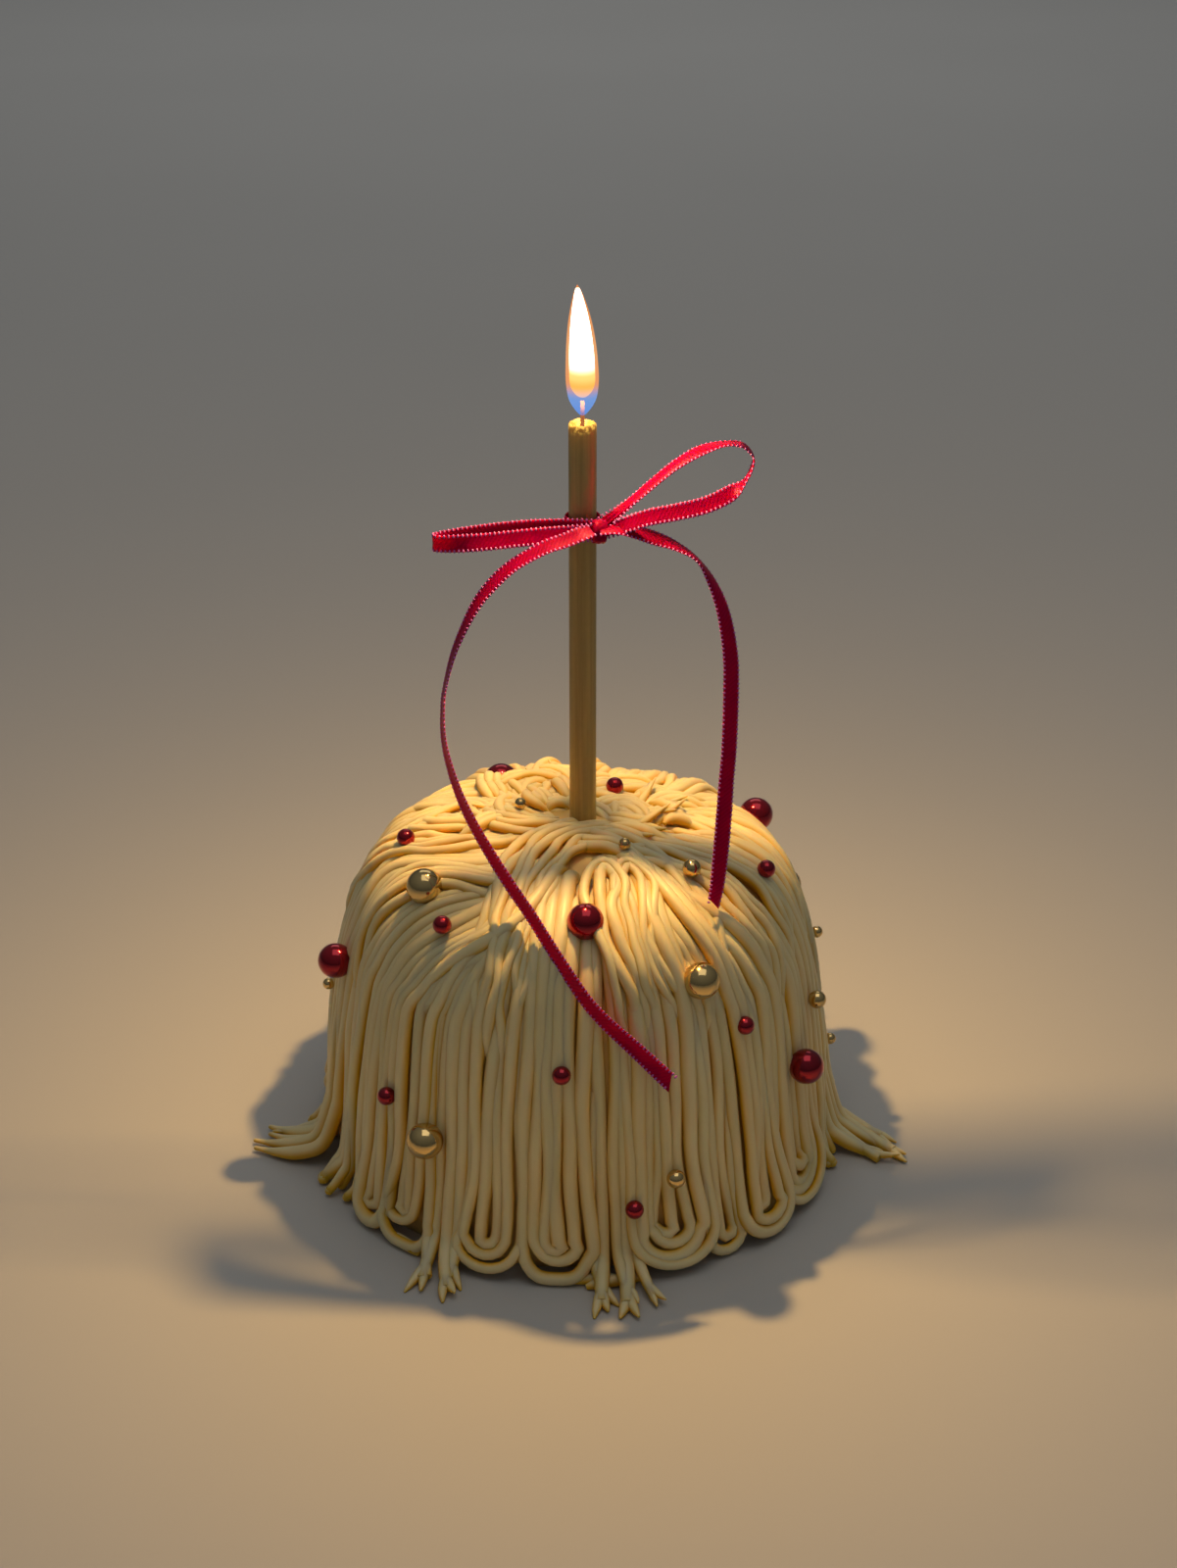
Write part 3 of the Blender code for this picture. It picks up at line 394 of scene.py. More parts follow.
def outline_table():
    """Radii, heights and climbs along the outline, from the foot to the crown."""
    angles = np.linspace(math.pi / 2, 0, OUTLINE_STEPS + 1)
    across = (np.sin(angles) / SIDE_RADIUS) ** OUTLINE_POWER
    upward = (np.cos(angles) / CROWN_HEIGHT) ** OUTLINE_POWER
    reach = (across + upward) ** (-1 / OUTLINE_POWER)
    heights = reach * np.cos(angles)
    above = np.clip(1 - heights / CROWN_HEIGHT, 0, 1)
    radii = reach * np.sin(angles) + FOOT_FLARE * above ** FLARE_POWER
    lengths = np.hypot(np.diff(radii), np.diff(heights))
    return radii, heights, np.concatenate(([0.0], np.cumsum(lengths)))


RADII, HEIGHTS, CLIMBS = outline_table()


def outline_at(climbs):
    """Radii, heights and outward directions (across, up) of the outline at climbs."""
    reach = 0.5 * MM
    low = np.clip(climbs - reach, 0, None)
    high = np.clip(climbs + reach, None, CLIMBS[-1])
    run = np.interp(high, CLIMBS, RADII) - np.interp(low, CLIMBS, RADII)
    rise = np.interp(high, CLIMBS, HEIGHTS) - np.interp(low, CLIMBS, HEIGHTS)
    length = np.hypot(run, rise)
    return (np.interp(climbs, CLIMBS, RADII), np.interp(climbs, CLIMBS, HEIGHTS),
            rise / length, -run / length)


def turned(azimuths, radii, heights):
    """Points or directions at azimuths, distances from the cake's axis and heights."""
    turns = np.radians(azimuths)
    heights = heights + np.zeros_like(turns)
    return np.stack((radii * np.sin(turns), -radii * np.cos(turns), heights), axis=-1)


def cream_line(azimuths, climbs, lifts):
    """Points on the cream, lifted off its outline, and the directions out of it."""
    azimuths, climbs, lifts = np.broadcast_arrays(
        np.asarray(azimuths, float), np.asarray(climbs, float), np.asarray(lifts, float))
    radii, heights, across, up = outline_at(climbs)
    points = turned(azimuths, radii + across * lifts, heights + up * lifts)
    return points, turned(azimuths, across, up)


def settled(points):
    """Azimuths and climbs of the places on the outline that are nearest to points."""
    radii = np.hypot(points[:, 0], points[:, 1])
    gaps = (radii[:, None] - RADII) ** 2 + (points[:, 2][:, None] - HEIGHTS) ** 2
    nearest = np.argmin(gaps, axis=1)
    base_radii, base_heights, across, up = outline_at(CLIMBS[nearest])
    ahead = (radii - base_radii) * -up + (points[:, 2] - base_heights) * across
    azimuths = np.degrees(np.arctan2(points[:, 0], -points[:, 1]))
    return azimuths, np.clip(CLIMBS[nearest] + ahead, 0, CLIMBS[-1])


def eased(values):
    """Smooth step from 0 to 1."""
    values = np.clip(values, 0, 1)
    return values * values * (3 - 2 * values)


def smooth_values(at, marks, values):
    """Smooth curve through values at marks."""
    marks = np.asarray(marks, float)
    values = np.asarray(values, float)
    slopes = np.gradient(values, marks)
    first = np.clip(np.searchsorted(marks, at) - 1, 0, len(marks) - 2)
    span = marks[first + 1] - marks[first]
    t = np.clip((at - marks[first]) / span, 0, 1)
    return ((2 * t ** 3 - 3 * t ** 2 + 1) * values[first]
            + (t ** 3 - 2 * t ** 2 + t) * span * slopes[first]
            + (3 * t ** 2 - 2 * t ** 3) * values[first + 1]
            + (t ** 3 - t ** 2) * span * slopes[first + 1])


def smooth_path(points, steps):
    """Points on a smooth curve through the given ones, with steps points a span."""
    points = np.asarray(points, float)
    padded = np.vstack((2 * points[0] - points[1], points, 2 * points[-1] - points[-2]))
    t = (np.arange(steps) / steps)[:, None]
    path = []
    for before, start, end, after in zip(padded, padded[1:], padded[2:], padded[3:]):
        path.append(0.5 * (2 * start + (end - before) * t
                           + (2 * before - 5 * start + 4 * end - after) * t ** 2
                           + (3 * start - before - 3 * end + after) * t ** 3))
    return np.vstack((*path, points[-1:]))


def upward(path):
    """Direction straight up for each point of a path."""
    return np.tile((0, 0, 1), (len(path), 1))


def lengths_along(path):
    """Distance from the start of a path to each of its points."""
    return np.concatenate(([0.0], np.cumsum(np.linalg.norm(np.diff(path, axis=0), axis=1))))


def unit(vectors):
    """Directions with length 1."""
    return vectors / np.maximum(np.linalg.norm(vectors, axis=-1, keepdims=True), 1e-12)


def spaced(path, spacing, *others):
    """A path, and the values that go with it, at evenly spaced points."""
    lengths = lengths_along(path)
    count = max(int(round(lengths[-1] / spacing)), 4)
    marks = np.linspace(0, lengths[-1], count + 1)
    found = []
    for values in (path, *others):
        values = np.asarray(values, float)
        columns = values.reshape(len(values), -1).T
        sampled = np.stack([np.interp(marks, lengths, column) for column in columns], axis=-1)
        found.append(sampled.reshape((len(marks), *values.shape[1:])))
    return found


def waver(lengths, chance, size, longest):
    """Slow wandering along a strand, from two sine waves."""
    total = np.zeros_like(lengths)
    for share, reach in ((0.82, longest), (0.18, longest * 0.41)):
        phase = chance.uniform(0, math.tau)
        total += share * np.sin(lengths * math.tau / (reach * chance.uniform(0.8, 1.25)) + phase)
    return size * total


def add_node(tree, kind, inputs=(), **settings):
    """New node with its settings, and a value or a link for each named or numbered input."""
    node = tree.nodes.new(kind)
    for name, value in settings.items():
        setattr(node, name, value)
    connect(tree, node, inputs)
    return node


def maths(tree, operation, *values):
    """Node that works out a number from two or three others."""
    return add_node(tree, "ShaderNodeMath", enumerate(values), operation=operation)


def stored_value(tree, name, kind):
    """Node that reads a value stored on the points."""
    return add_node(tree, "GeometryNodeInputNamedAttribute", {"Name": name}, data_type=kind)


def new_shape_tree(name, inputs):
    """Geometry Nodes tree with a geometry input and output and named inputs of its own."""
    tree = bpy.data.node_groups.new(name, "GeometryNodeTree")
    tree.interface.new_socket("Geometry", in_out="INPUT", socket_type="NodeSocketGeometry")
    tree.interface.new_socket("Geometry", in_out="OUTPUT", socket_type="NodeSocketGeometry")
    for label, kind, default in inputs:
        socket = tree.interface.new_socket(label, in_out="INPUT", socket_type=kind)
        if default is not None:
            socket.default_value = default
    return tree, add_node(tree, "NodeGroupInput")


def close_shape_tree(tree, source, geometry):
    """End a tree in smooth faces, realized instances and its material."""
    shaded = add_node(tree, "GeometryNodeSetShadeSmooth", {"Geometry": geometry})
    real = add_node(tree, "GeometryNodeRealizeInstances", {"Geometry": shaded})
    painted = add_node(tree, "GeometryNodeSetMaterial",
                       {"Geometry": real, "Material": source.outputs["Material"]})
    add_node(tree, "NodeGroupOutput", {"Geometry": painted})
    return tree


def strand_tree():
    """Round strands along lines, which store on each face a mask of painted shade: how far the face
    turns away from the outward direction, into the grooves between ridges.
    """
    tree, source = new_shape_tree("Strands along lines", (
        ("Sides", "NodeSocketInt", 12), ("Girth", "NodeSocketFloat", 1.0),
        ("Material", "NodeSocketMaterial", None)))
    radius = maths(tree, "MULTIPLY", stored_value(tree, "girth", "FLOAT"),
                   source.outputs["Girth"])
    curve = add_node(tree, "GeometryNodeMeshToCurve", {"Mesh": source})
    circle = add_node(tree, "GeometryNodeCurvePrimitiveCircle",
                      {"Resolution": source.outputs["Sides"], "Radius": 1.0}, mode="RADIUS")
    tube = add_node(tree, "GeometryNodeCurveToMesh", {
        "Curve": curve, "Profile Curve": circle, "Scale": radius, "Fill Caps": True})
    facing = add_node(tree, "ShaderNodeVectorMath", {
        0: add_node(tree, "GeometryNodeInputNormal"),
        1: stored_value(tree, "outward", "FLOAT_VECTOR")}, operation="DOT_PRODUCT")
    # Mask of painted shade: faces turned away from the outward direction, down in the grooves, take
    # the crevice colour
    crevice_shade_mask = ranged(tree, facing.outputs["Value"], 0.92, 0.1, kind="SMOOTHSTEP")
    stored = add_node(tree, "GeometryNodeStoreNamedAttribute",
                      {"Geometry": tube, "Name": "crevice_shade_mask", "Value": crevice_shade_mask},
                      data_type="FLOAT", domain="POINT")
    return close_shape_tree(tree, source, stored)


def pearl_tree():
    """Round pearls at points, a little dented by the cream round them."""
    tree, source = new_shape_tree("Pearls at points", (
        ("Segments", "NodeSocketInt", 40), ("Unevenness", "NodeSocketFloat", 0.012),
        ("Material", "NodeSocketMaterial", None)))
    size = stored_value(tree, "size", "FLOAT")
    segments = source.outputs["Segments"]
    rings = add_node(tree, "FunctionNodeFloatToInt",
                     {"Float": maths(tree, "MULTIPLY", segments, 0.6)})
    ball = add_node(tree, "GeometryNodeMeshUVSphere",
                    {"Segments": segments, "Rings": rings, "Radius": 1.0})
    placed = add_node(tree, "GeometryNodeInstanceOnPoints",
                      {"Points": source, "Instance": ball, "Scale": size})
    real = add_node(tree, "GeometryNodeRealizeInstances", {"Geometry": placed})
    wave = add_node(tree, "ShaderNodeTexNoise", {"Scale": 420.0, "Detail": 1.0})
    amount = maths(tree, "MULTIPLY", maths(tree, "SUBTRACT", wave, 0.5),
                   source.outputs["Unevenness"])
    push = add_node(tree, "ShaderNodeVectorMath", {
        0: add_node(tree, "GeometryNodeInputNormal"),
        "Scale": maths(tree, "MULTIPLY", amount, size)}, operation="SCALE")
    moved = add_node(tree, "GeometryNodeSetPosition", {"Geometry": real, "Offset": push})
    return close_shape_tree(tree, source, moved)


def stitch_tree():
    """Short threads across an edge, one at each point, turned along its direction."""
    tree, source = new_shape_tree("Stitches at points", (
        ("Length", "NodeSocketFloat", STITCH_LENGTH), ("Thickness", "NodeSocketFloat", 0.3 * MM),
        ("Material", "NodeSocketMaterial", None)))
    turn = add_node(tree, "FunctionNodeAlignRotationToVector",
                    {"Vector": stored_value(tree, "across", "FLOAT_VECTOR")}, axis="X")
    bead = add_node(tree, "GeometryNodeMeshUVSphere", {"Segments": 8, "Rings": 6, "Radius": 0.5})
    thickness = source.outputs["Thickness"]
    size = add_node(tree, "ShaderNodeCombineXYZ",
                    {"X": source.outputs["Length"], "Y": thickness, "Z": thickness})
    placed = add_node(tree, "GeometryNodeInstanceOnPoints", {
        "Points": source, "Instance": bead, "Rotation": turn, "Scale": size})
    return close_shape_tree(tree, source, placed)


def add_object(name, data):
    """New object of the scene."""
    piece = bpy.data.objects.new(name, data)
    bpy.context.scene.collection.objects.link(piece)
    return piece


def shaped(name, source, tree, inputs):
    """Plain mesh piece that a Geometry Nodes tree makes from a source object."""
    modifier = source.modifiers.new(tree.name, "NODES")
    modifier.node_group = tree
    for item in tree.interface.items_tree:
        if item.in_out == "INPUT" and item.name in inputs:
            modifier[item.identifier] = inputs[item.name]
    bpy.context.view_layer.update()
    evaluated = source.evaluated_get(bpy.context.evaluated_depsgraph_get())
    mesh = bpy.data.meshes.new_from_object(evaluated)
    source.modifiers.clear()
    bpy.data.objects.remove(source, do_unlink=True)
    mesh.name = name
    if not mesh.polygons:
        raise RuntimeError(f"{name} has no faces")
    return add_object(name, mesh)


def mesh_object(name, points, edges=(), faces=()):
    """Object with a mesh of the given points, edges and faces."""
    mesh = bpy.data.meshes.new(name)
    mesh.from_pydata([tuple(point) for point in points], list(edges), list(faces))
    return add_object(name, mesh)


def set_attribute(piece, name, kind, values):
    """Give each point of a piece's mesh a value."""
    attribute = piece.data.attributes.new(name, kind, "POINT")
    field = "vector" if kind == "FLOAT_VECTOR" else "value"
    attribute.data.foreach_set(field, np.asarray(values, np.float32).ravel())


def finish_piece(piece, slot, *nodes):
    """Let a finished piece ride on the cake and stand for its solids, which it hides. The slot is not
    used.
    """
    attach(piece, BODY)
    if nodes:
        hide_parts(*nodes)
    return piece


class Strands:
    """Lines of cream, gathered into one mesh of edges before they get their roundness."""

    def __init__(self, spacing):
        self.spacing = spacing
        self.points = []
        self.outwards = []
        self.girths = []
        self.edges = []

    def lay(self, path, outwards, girths):
        """Add one strand along a path, with its outward direction and radius at each point."""
        girths = girths + np.zeros(len(path))
        path, outwards, girths = spaced(path, self.spacing, outwards, girths)
        path[:, 2] = np.maximum(path[:, 2], girths * 0.98)
        start = len(self.points)
        self.points.extend(path)
        self.outwards.extend(unit(outwards))
        self.girths.extend(girths)
        self.edges.extend((start + i, start + i + 1) for i in range(len(path) - 1))

    def build(self, name, sides, material):
        """Round piece of all the strands."""
        lines = mesh_object("lines", self.points, self.edges)
        set_attribute(lines, "outward", "FLOAT_VECTOR", self.outwards)
        set_attribute(lines, "girth", "FLOAT", self.girths)
        return shaped(name, lines, once("strands", strand_tree),
                      {"Sides": sides, "Material": material})

    def pipe(self, name, settings):
        """Finished piece of cream of all the strands."""
        piece = self.build(name, settings.sides, once("cream", cream_material, settings))
        finish_piece(piece, "cream", "cake")


class Comb:
    """Rules that lay the strands of the cake: how they run, rise, sink and wander."""

    def __init__(self, settings, seed):
        self.settings = settings
        self.width = settings.strand_width
        self.girth = settings.girth
        self.chance = random.Random(settings.seed * 100 + seed)

    def sweep(self, azimuth, climbs):
        """How far a tress has swept round at climbs, in degrees."""
        table = np.array(COMBING, float)
        shoulder, crown = (np.interp(azimuth, table[:, 0], table[:, column], period=360)
                           for column in (1, 2))
        marks = np.array(COMB_CLIMBS_MM) * MM
        swept = (0, 0.35 * shoulder, shoulder, crown, crown + 0.6 * (crown - shoulder))
        return smooth_values(climbs, marks, swept) * eased((climbs - marks[0]) / (6 * MM))

    def azimuths(self, centre, offset, climbs):
        """Azimuths of a strand that runs beside the middle of its tress."""
        radii = np.clip(outline_at(climbs)[0], 13 * MM, SIDE_RADIUS)
        swept = self.sweep(centre, climbs)
        slant = radii * np.gradient(np.radians(swept), climbs)
        widening = np.minimum(np.hypot(1, slant), 1.7)
        return centre + swept + np.degrees(offset / radii) * widening

    def arm(self, centre, offset, half_width, layer, climbs, top):
        """Azimuths and lifts of one strand of a tress, from its foot to its sunk top."""
        azimuths = self.azimuths(centre, offset, climbs)
        crown = eased((climbs - CROWN_START) / CROWN_SPAN)
        camber = (offset / max(half_width, self.width)) ** 2
        lifts = (crown * (1.1 * layer - 0.5 * camber) - 0.8 * camber) * MM
        lifts = lifts - SINK_DEPTH * eased((climbs - top + SINK_LENGTH) / SINK_LENGTH)
        lengths = climbs - climbs[0]
        wander = waver(lengths, self.chance, self.settings.sway, 62 * MM)
        wander = wander + self.chance.uniform(-0.7, 0.7) * MM
        azimuths = azimuths + np.degrees(wander / SIDE_RADIUS) * (1 - 0.4 * crown)
        lifts = lifts + self.chance.uniform(-0.5, 0.5) * MM
        lifts = lifts + waver(lengths, self.chance, 0.3 * MM, 46 * MM)
        return azimuths, lifts

    def thickness(self, lengths, climbs=None):
        """Radius of a strand along its length, fuller where the strands fuse at the shoulder."""
        base = self.girth * self.chance.uniform(0.78, 1.1)
        if climbs is not None:
            base = base * (1.05 + 0.19 * eased((climbs - 8 * MM) / (44 * MM)))
        return base + waver(lengths, self.chance, 0.07 * MM, 40 * MM)

    def top(self, layer):
        """Climb at which a tress sinks into the crown, higher for the ones on top."""
        return (82 + 6.5 * layer + self.chance.uniform(-2, 3)) * MM

    def loop(self, strands, azimuth, lines, extra, layers):
        """Nested lines that run down the side, turn at the foot and run up again."""
        eye = self.settings.loop_eye
        half = lines * self.width / 2
        turn_climb = eye + lines * self.width + 0.4 * MM
        middle = eye + half
        tops = [self.top(layer) for layer in layers]
        for line in range(lines):
            span = eye + (line + 0.5) * self.width
            parts = []
            for side, layer, top in zip((-1, 1), layers, tops):
                climbs = np.arange(turn_climb, top + 0.1 * MM, STRAND_STEP)
                centre = azimuth + side * math.degrees(middle / SIDE_RADIUS)
                azimuths, lifts = self.arm(centre, side * (span - middle), half, layer,
                                           climbs, top)
                closing = 1.25 * eye * eased((climbs - turn_climb) / (16 * MM))
                azimuths = azimuths - side * np.degrees(closing / SIDE_RADIUS)
                parts.append((azimuths, climbs, lifts))
            turn = np.linspace(0, math.pi, 14)[1:-1]
            sag = 1 + 0.07 * self.chance.uniform(-1, 1)
            bend = (azimuth - np.degrees(span * np.cos(turn) / SIDE_RADIUS),
                    turn_climb - span * sag * np.sin(turn),
                    np.zeros_like(turn))
            left, right = parts
            joined = [np.concatenate((a[::-1], b, c)) for a, b, c in zip(left, bend, right)]
            azimuths, climbs, lifts = joined
            low = eased(1 - climbs / (26 * MM))
            shift, drop, level = (self.chance.uniform(*reach) * MM
                                  for reach in ((-1.5, 1.5), (-0.6, 1.5), (-0.6, 1.3)))
            azimuths = azimuths + np.degrees(shift * low / SIDE_RADIUS)
            climbs = np.maximum(climbs + drop * low, self.girth * 0.9)
            lifts = lifts + level * low
            girths = self.thickness(np.arange(len(climbs)) * STRAND_STEP, climbs)
            outer = (line + 0.5) / lines
            bulge = (1.1 + 1.3 * outer) * MM * eased(1 - climbs / (18 * MM))
            foot = eased(1 - climbs / (30 * MM))
            points, outwards = cream_line(azimuths, climbs, lifts + bulge + extra - girths)
            strands.lay(points, outwards, girths * (1 + 0.02 * foot))

    def fringe(self, strands, azimuth, count, tip_azimuth, tip_radius, layer, spread, ending):
        """Strands side by side down the side, which end in torn tips on the surface below."""
        half = count * self.width / 2
        top = self.top(layer)
        climbs = np.arange(FRINGE_GRIP, top + 0.1 * MM, STRAND_STEP)
        for strand in range(count):
            place = strand - (count - 1) / 2
            offset = place * self.width
            azimuths, lifts = self.arm(azimuth, offset, half, layer, climbs, top)
            girths = self.thickness(climbs, climbs)
            points, outwards = cream_line(azimuths, climbs, lifts - girths)
            joining = (0.6 - 1.2 * (strand % 2)) * self.width
            splay = math.degrees((offset * spread + joining) / SIDE_RADIUS)
            reach = tip_radius - (abs(place) * 0.6 + self.chance.uniform(-1.0, 4.0)) * MM
            end, end_outwards, end_girths = self.tip(
                points[2::-2], azimuths[0], tip_azimuth + splay, reach - 2 * MM, girths[0],
                ENDINGS[ending])
            path = np.vstack((points[:2:-1], end))
            strands.lay(path, np.vstack((outwards[:2:-1], end_outwards)),
                        np.concatenate((girths[:2:-1], end_girths)))
            direction = unit(end[-1] - end[-4])
            if ending == "torn":
                self.claws(strands, end[-1], direction, end_girths[-1], strand)
            else:
                self.rounding(strands, end[-1], direction, end_girths[-1])

    def tip(self, lead, azimuth, tip_azimuth, tip_radius, girth, left):
        """End of a strand, from the side down to the surface and along it."""
        base_radius = math.hypot(lead[-1][0], lead[-1][1])
        reach = tip_radius - base_radius
        lying = float(eased((reach - 9 * MM) / (6 * MM)))
        marks = list(lead)
        for share, sloping_mm, lying_mm in ((0.2, 6.6, 5.4), (0.45, 4.6, 2.6), (0.72, 2.8, 1.5),
                                            (1, 1.3, 1.0)):
            turn = azimuth + (tip_azimuth - azimuth) * share ** 1.3
            height_mm = sloping_mm + (lying_mm - sloping_mm) * lying
            marks.append(turned(turn, base_radius + reach * share, height_mm * MM))
        path = smooth_path(marks, 6)
        share = np.linspace(0, 1, len(path))
        radial = unit(path * (1, 1, 0))
        outwards = radial * (1 - eased(share))[:, None] + np.array((0, 0, 1)) * eased(share)[:, None]
        late = 0.45 + 0.2 * lying
        fuller = 1 + 0.14 * lying * eased(share / 0.4)
        girths = girth * fuller * (1 - (1 - left) * eased((share - late) / (1 - late)))
        return path, outwards, girths

    def rounding(self, strands, point, direction, girth):
        """Blunt round end of a strand."""
        turn = np.linspace(-0.4, math.pi / 2 - 0.08, 7)[:, None]
        path = point + direction * np.sin(turn) * girth * 1.1
        strands.lay(path, upward(path), girth * np.cos(turn[:, 0]))

    def claws(self, strands, point, direction, girth, strand):
        """Torn and hooked points of cream at the end of a strand."""
        across = unit(np.cross(direction, (0, 0, 1)))
        hand = 1 - 2 * (strand % 2)
        for side in (hand, -hand)[:self.chance.choice((1, 2, 2))]:
            turn = side * self.chance.uniform(0.08, 0.42)
            start = self.chance.uniform(1.6, 3.0) * MM
            length = start + self.chance.uniform(1.8, 4.0) * MM
            lift = self.chance.choice((0, 0, 0.12, 0.4))
            hook = self.chance.uniform(-2.2, 1.4)
            marks = [point - direction * start]
            for share in (0.35, 0.7, 1):
                bend = turn * (1 + hook * (share - 0.4))
                ahead = direction * math.cos(bend) + across * math.sin(bend)
                marks.append(marks[-1] + (ahead + np.array((0, 0, lift * share))) * length / 3)
            path = smooth_path(marks, 5)
            shares = np.linspace(0, 1, len(path))
            girths = girth * (0.95 - 0.75 * shares ** 2.2)
            strands.lay(path, upward(path), girths)

    def scrap(self, strands, azimuths, radii_mm):
        """Short piece of strand that lies on the surface round the cake."""
        share = np.linspace(0, 1, 12)
        radii = np.interp(share, (0, 1), radii_mm) * MM
        girths = self.girth * (0.45 + 0.5 * eased(share / 0.2) * eased((1 - share) / 0.2))
        path = turned(np.interp(share, (0, 1), azimuths), radii, girths)
        strands.lay(path, upward(path), girths)

    def top_tress(self, strands, count, route):
        """Tress that lies on the crown, along a route of azimuth, climb and lift."""
        marks = np.array(route, float)
        lifts = marks[:, 2] * MM
        centre = cream_line(marks[:, 0], marks[:, 1] * MM, 0)[0]
        path = smooth_path(centre, TRESS_STEPS)
        rise = smooth_path(lifts[:, None], TRESS_STEPS)[:, 0]
        azimuths, climbs = settled(path)
        outwards = cream_line(azimuths, climbs, 0)[1]
        across = unit(np.cross(np.gradient(path, axis=0), outwards))
        lengths = lengths_along(path)
        for strand in range(count):
            offset = (strand - (count - 1) / 2) * self.width * 0.92
            camber = 1.1 * MM * (2 * abs(offset) / (count * self.width)) ** 2
            wander = waver(lengths, self.chance, 0.7 * MM, 20 * MM)
            azimuths, climbs = settled(path + across * (offset + wander)[:, None])
            girths = self.thickness(lengths)
            ends = eased(lengths / (3 * MM)) * eased((lengths[-1] - lengths) / (3 * MM))
            girths = girths * (0.4 + 0.5 * ends)
            lift = rise - camber + waver(lengths, self.chance, 0.3 * MM, 20 * MM) - girths
            lift = lift + self.chance.uniform(-0.5, 0.6) * MM
            points, outward = cream_line(azimuths, climbs, lift)
            strands.lay(points, outward, girths)

    def spike(self, strands, azimuth, climb):
        """Torn point of cream that stands up a little from the crown."""
        reach = self.chance.uniform(4, 7) * MM
        share = np.linspace(0, 1, 9)
        azimuths = azimuth + self.chance.uniform(-14, 14) * share
        lifts = (self.chance.uniform(3.0, 4.6) * share ** 0.8) * MM
        girths = self.girth * (1 - 0.88 * share ** 0.9)
        points, outwards = cream_line(azimuths, climb + reach * (0.3 - share), lifts)
        strands.lay(points, outwards, girths)

    def noodle(self, strands, azimuth, climb, heading, length, rise, count):
        """Sheaf of short curled noodles with torn ends, heaped on the crown."""
        steps = 16
        point = cream_line([azimuth], [climb], [0])[0][0]
        curl = self.chance.uniform(-1, 1) * 3.6
        second = self.chance.uniform(-1, 1) * 3.0
        path = [point]
        for step in range(steps):
            share = step / steps
            heading += (curl * (1 - share) + second * share) * 1.3 / steps
            point = point + np.array((math.cos(heading), math.sin(heading), 0)) * length / steps
            path.append(point)
        path = np.array(path)
        across = unit(np.cross(np.gradient(path, axis=0), (0, 0, 1)))
        for member in range(count):
            offset = (member - (count - 1) / 2) * self.width * 0.8
            early, late = self.chance.uniform(0, 0.12), self.chance.uniform(0.82, 1)
            cut = slice(int(early * steps), int(late * steps) + 1)
            azimuths, climbs = settled((path + across * offset)[cut])
            share = np.linspace(0, 1, len(climbs))
            girths = self.girth * self.chance.uniform(0.8, 1) * (
                0.3 + 0.7 * eased(share / 0.25) * eased((1 - share) / 0.4))
            lifts = rise * np.sin(share * math.pi) ** 0.7 + (0.5 - 1.4 * share) * MM
            lifts = lifts + self.chance.uniform(-0.4, 0.5) * MM
            points, outwards = cream_line(azimuths, climbs, lifts)
            strands.lay(points, outwards, girths)


def connect(tree, node, inputs):
    """Give a node's inputs a value or a link each; a node stands for its first output."""
    for name, value in dict(inputs).items():
        if isinstance(value, bpy.types.Node):
            value = value.outputs[0]
        if isinstance(value, bpy.types.NodeSocket):
            tree.links.new(value, node.inputs[name])
        else:
            node.inputs[name].default_value = value


def principled(name):
    """New material with its node tree and its Principled shader."""
    material = bpy.data.materials.new(name)
    material.use_nodes = True
    return material, material.node_tree, material.node_tree.nodes["Principled BSDF"]


def new_group(name, inputs, outputs):
    """Shader node group with named number inputs and outputs."""
    group = bpy.data.node_groups.new(name, "ShaderNodeTree")
    for label, default in inputs:
        socket = group.interface.new_socket(label, in_out="INPUT", socket_type="NodeSocketFloat")
        socket.default_value = default
    for label in outputs:
        group.interface.new_socket(label, in_out="OUTPUT", socket_type="NodeSocketFloat")
    return group, add_node(group, "NodeGroupInput")


def grain_group():
    """Soft unevenness of a surface: a mask from 0 to 1 and a height."""
    group, source = new_group("Surface grain", (
        ("Scale", 300.0), ("Stretch", 1.0), ("Detail", 3.0)), ("Mask", "Height"))
    place = add_node(group, "ShaderNodeTexCoord")
    stretch = add_node(group, "ShaderNodeCombineXYZ",
                       {"X": 1.0, "Y": 1.0, "Z": source.outputs["Stretch"]})
    scaled = add_node(group, "ShaderNodeVectorMath",
                      {0: place.outputs["Object"], 1: stretch}, operation="MULTIPLY")
    noise = add_node(group, "ShaderNodeTexNoise", {
        "Vector": scaled, "Scale": source.outputs["Scale"],
        "Detail": source.outputs["Detail"], "Roughness": 0.55})
    add_node(group, "NodeGroupOutput", {"Mask": ranged(group, noise, 0.3, 0.7), "Height": noise})
    return group


def grain(tree, scale, stretch=1.0, detail=2.0):
    """Surface grain placed in a material; its mask is its first output."""
    return add_node(tree, "ShaderNodeGroup", {"Scale": scale, "Stretch": stretch,
                                              "Detail": detail},
                    node_tree=once("grain", grain_group))


def height_in(tree):
    """Height of a place on the piece."""
    place = add_node(tree, "ShaderNodeTexCoord")
    parts = add_node(tree, "ShaderNodeSeparateXYZ", {"Vector": place.outputs["Object"]})
    return parts.outputs["Z"]


def dimmed(colour, share):
    """Darker or brighter version of a colour."""
    return [min(channel * share, 1) for channel in colour]


def mixed(tree, factor, first, second, blend="MIX"):
    """Colour between two colours."""
    colours = [(*tuple(c), 1) if not isinstance(c, bpy.types.NodeSocket) else c
               for c in (first, second)]
    node = add_node(tree, "ShaderNodeMix", {0: factor, 6: colours[0], 7: colours[1]},
                    data_type="RGBA", blend_type=blend)
    return node.outputs[2]


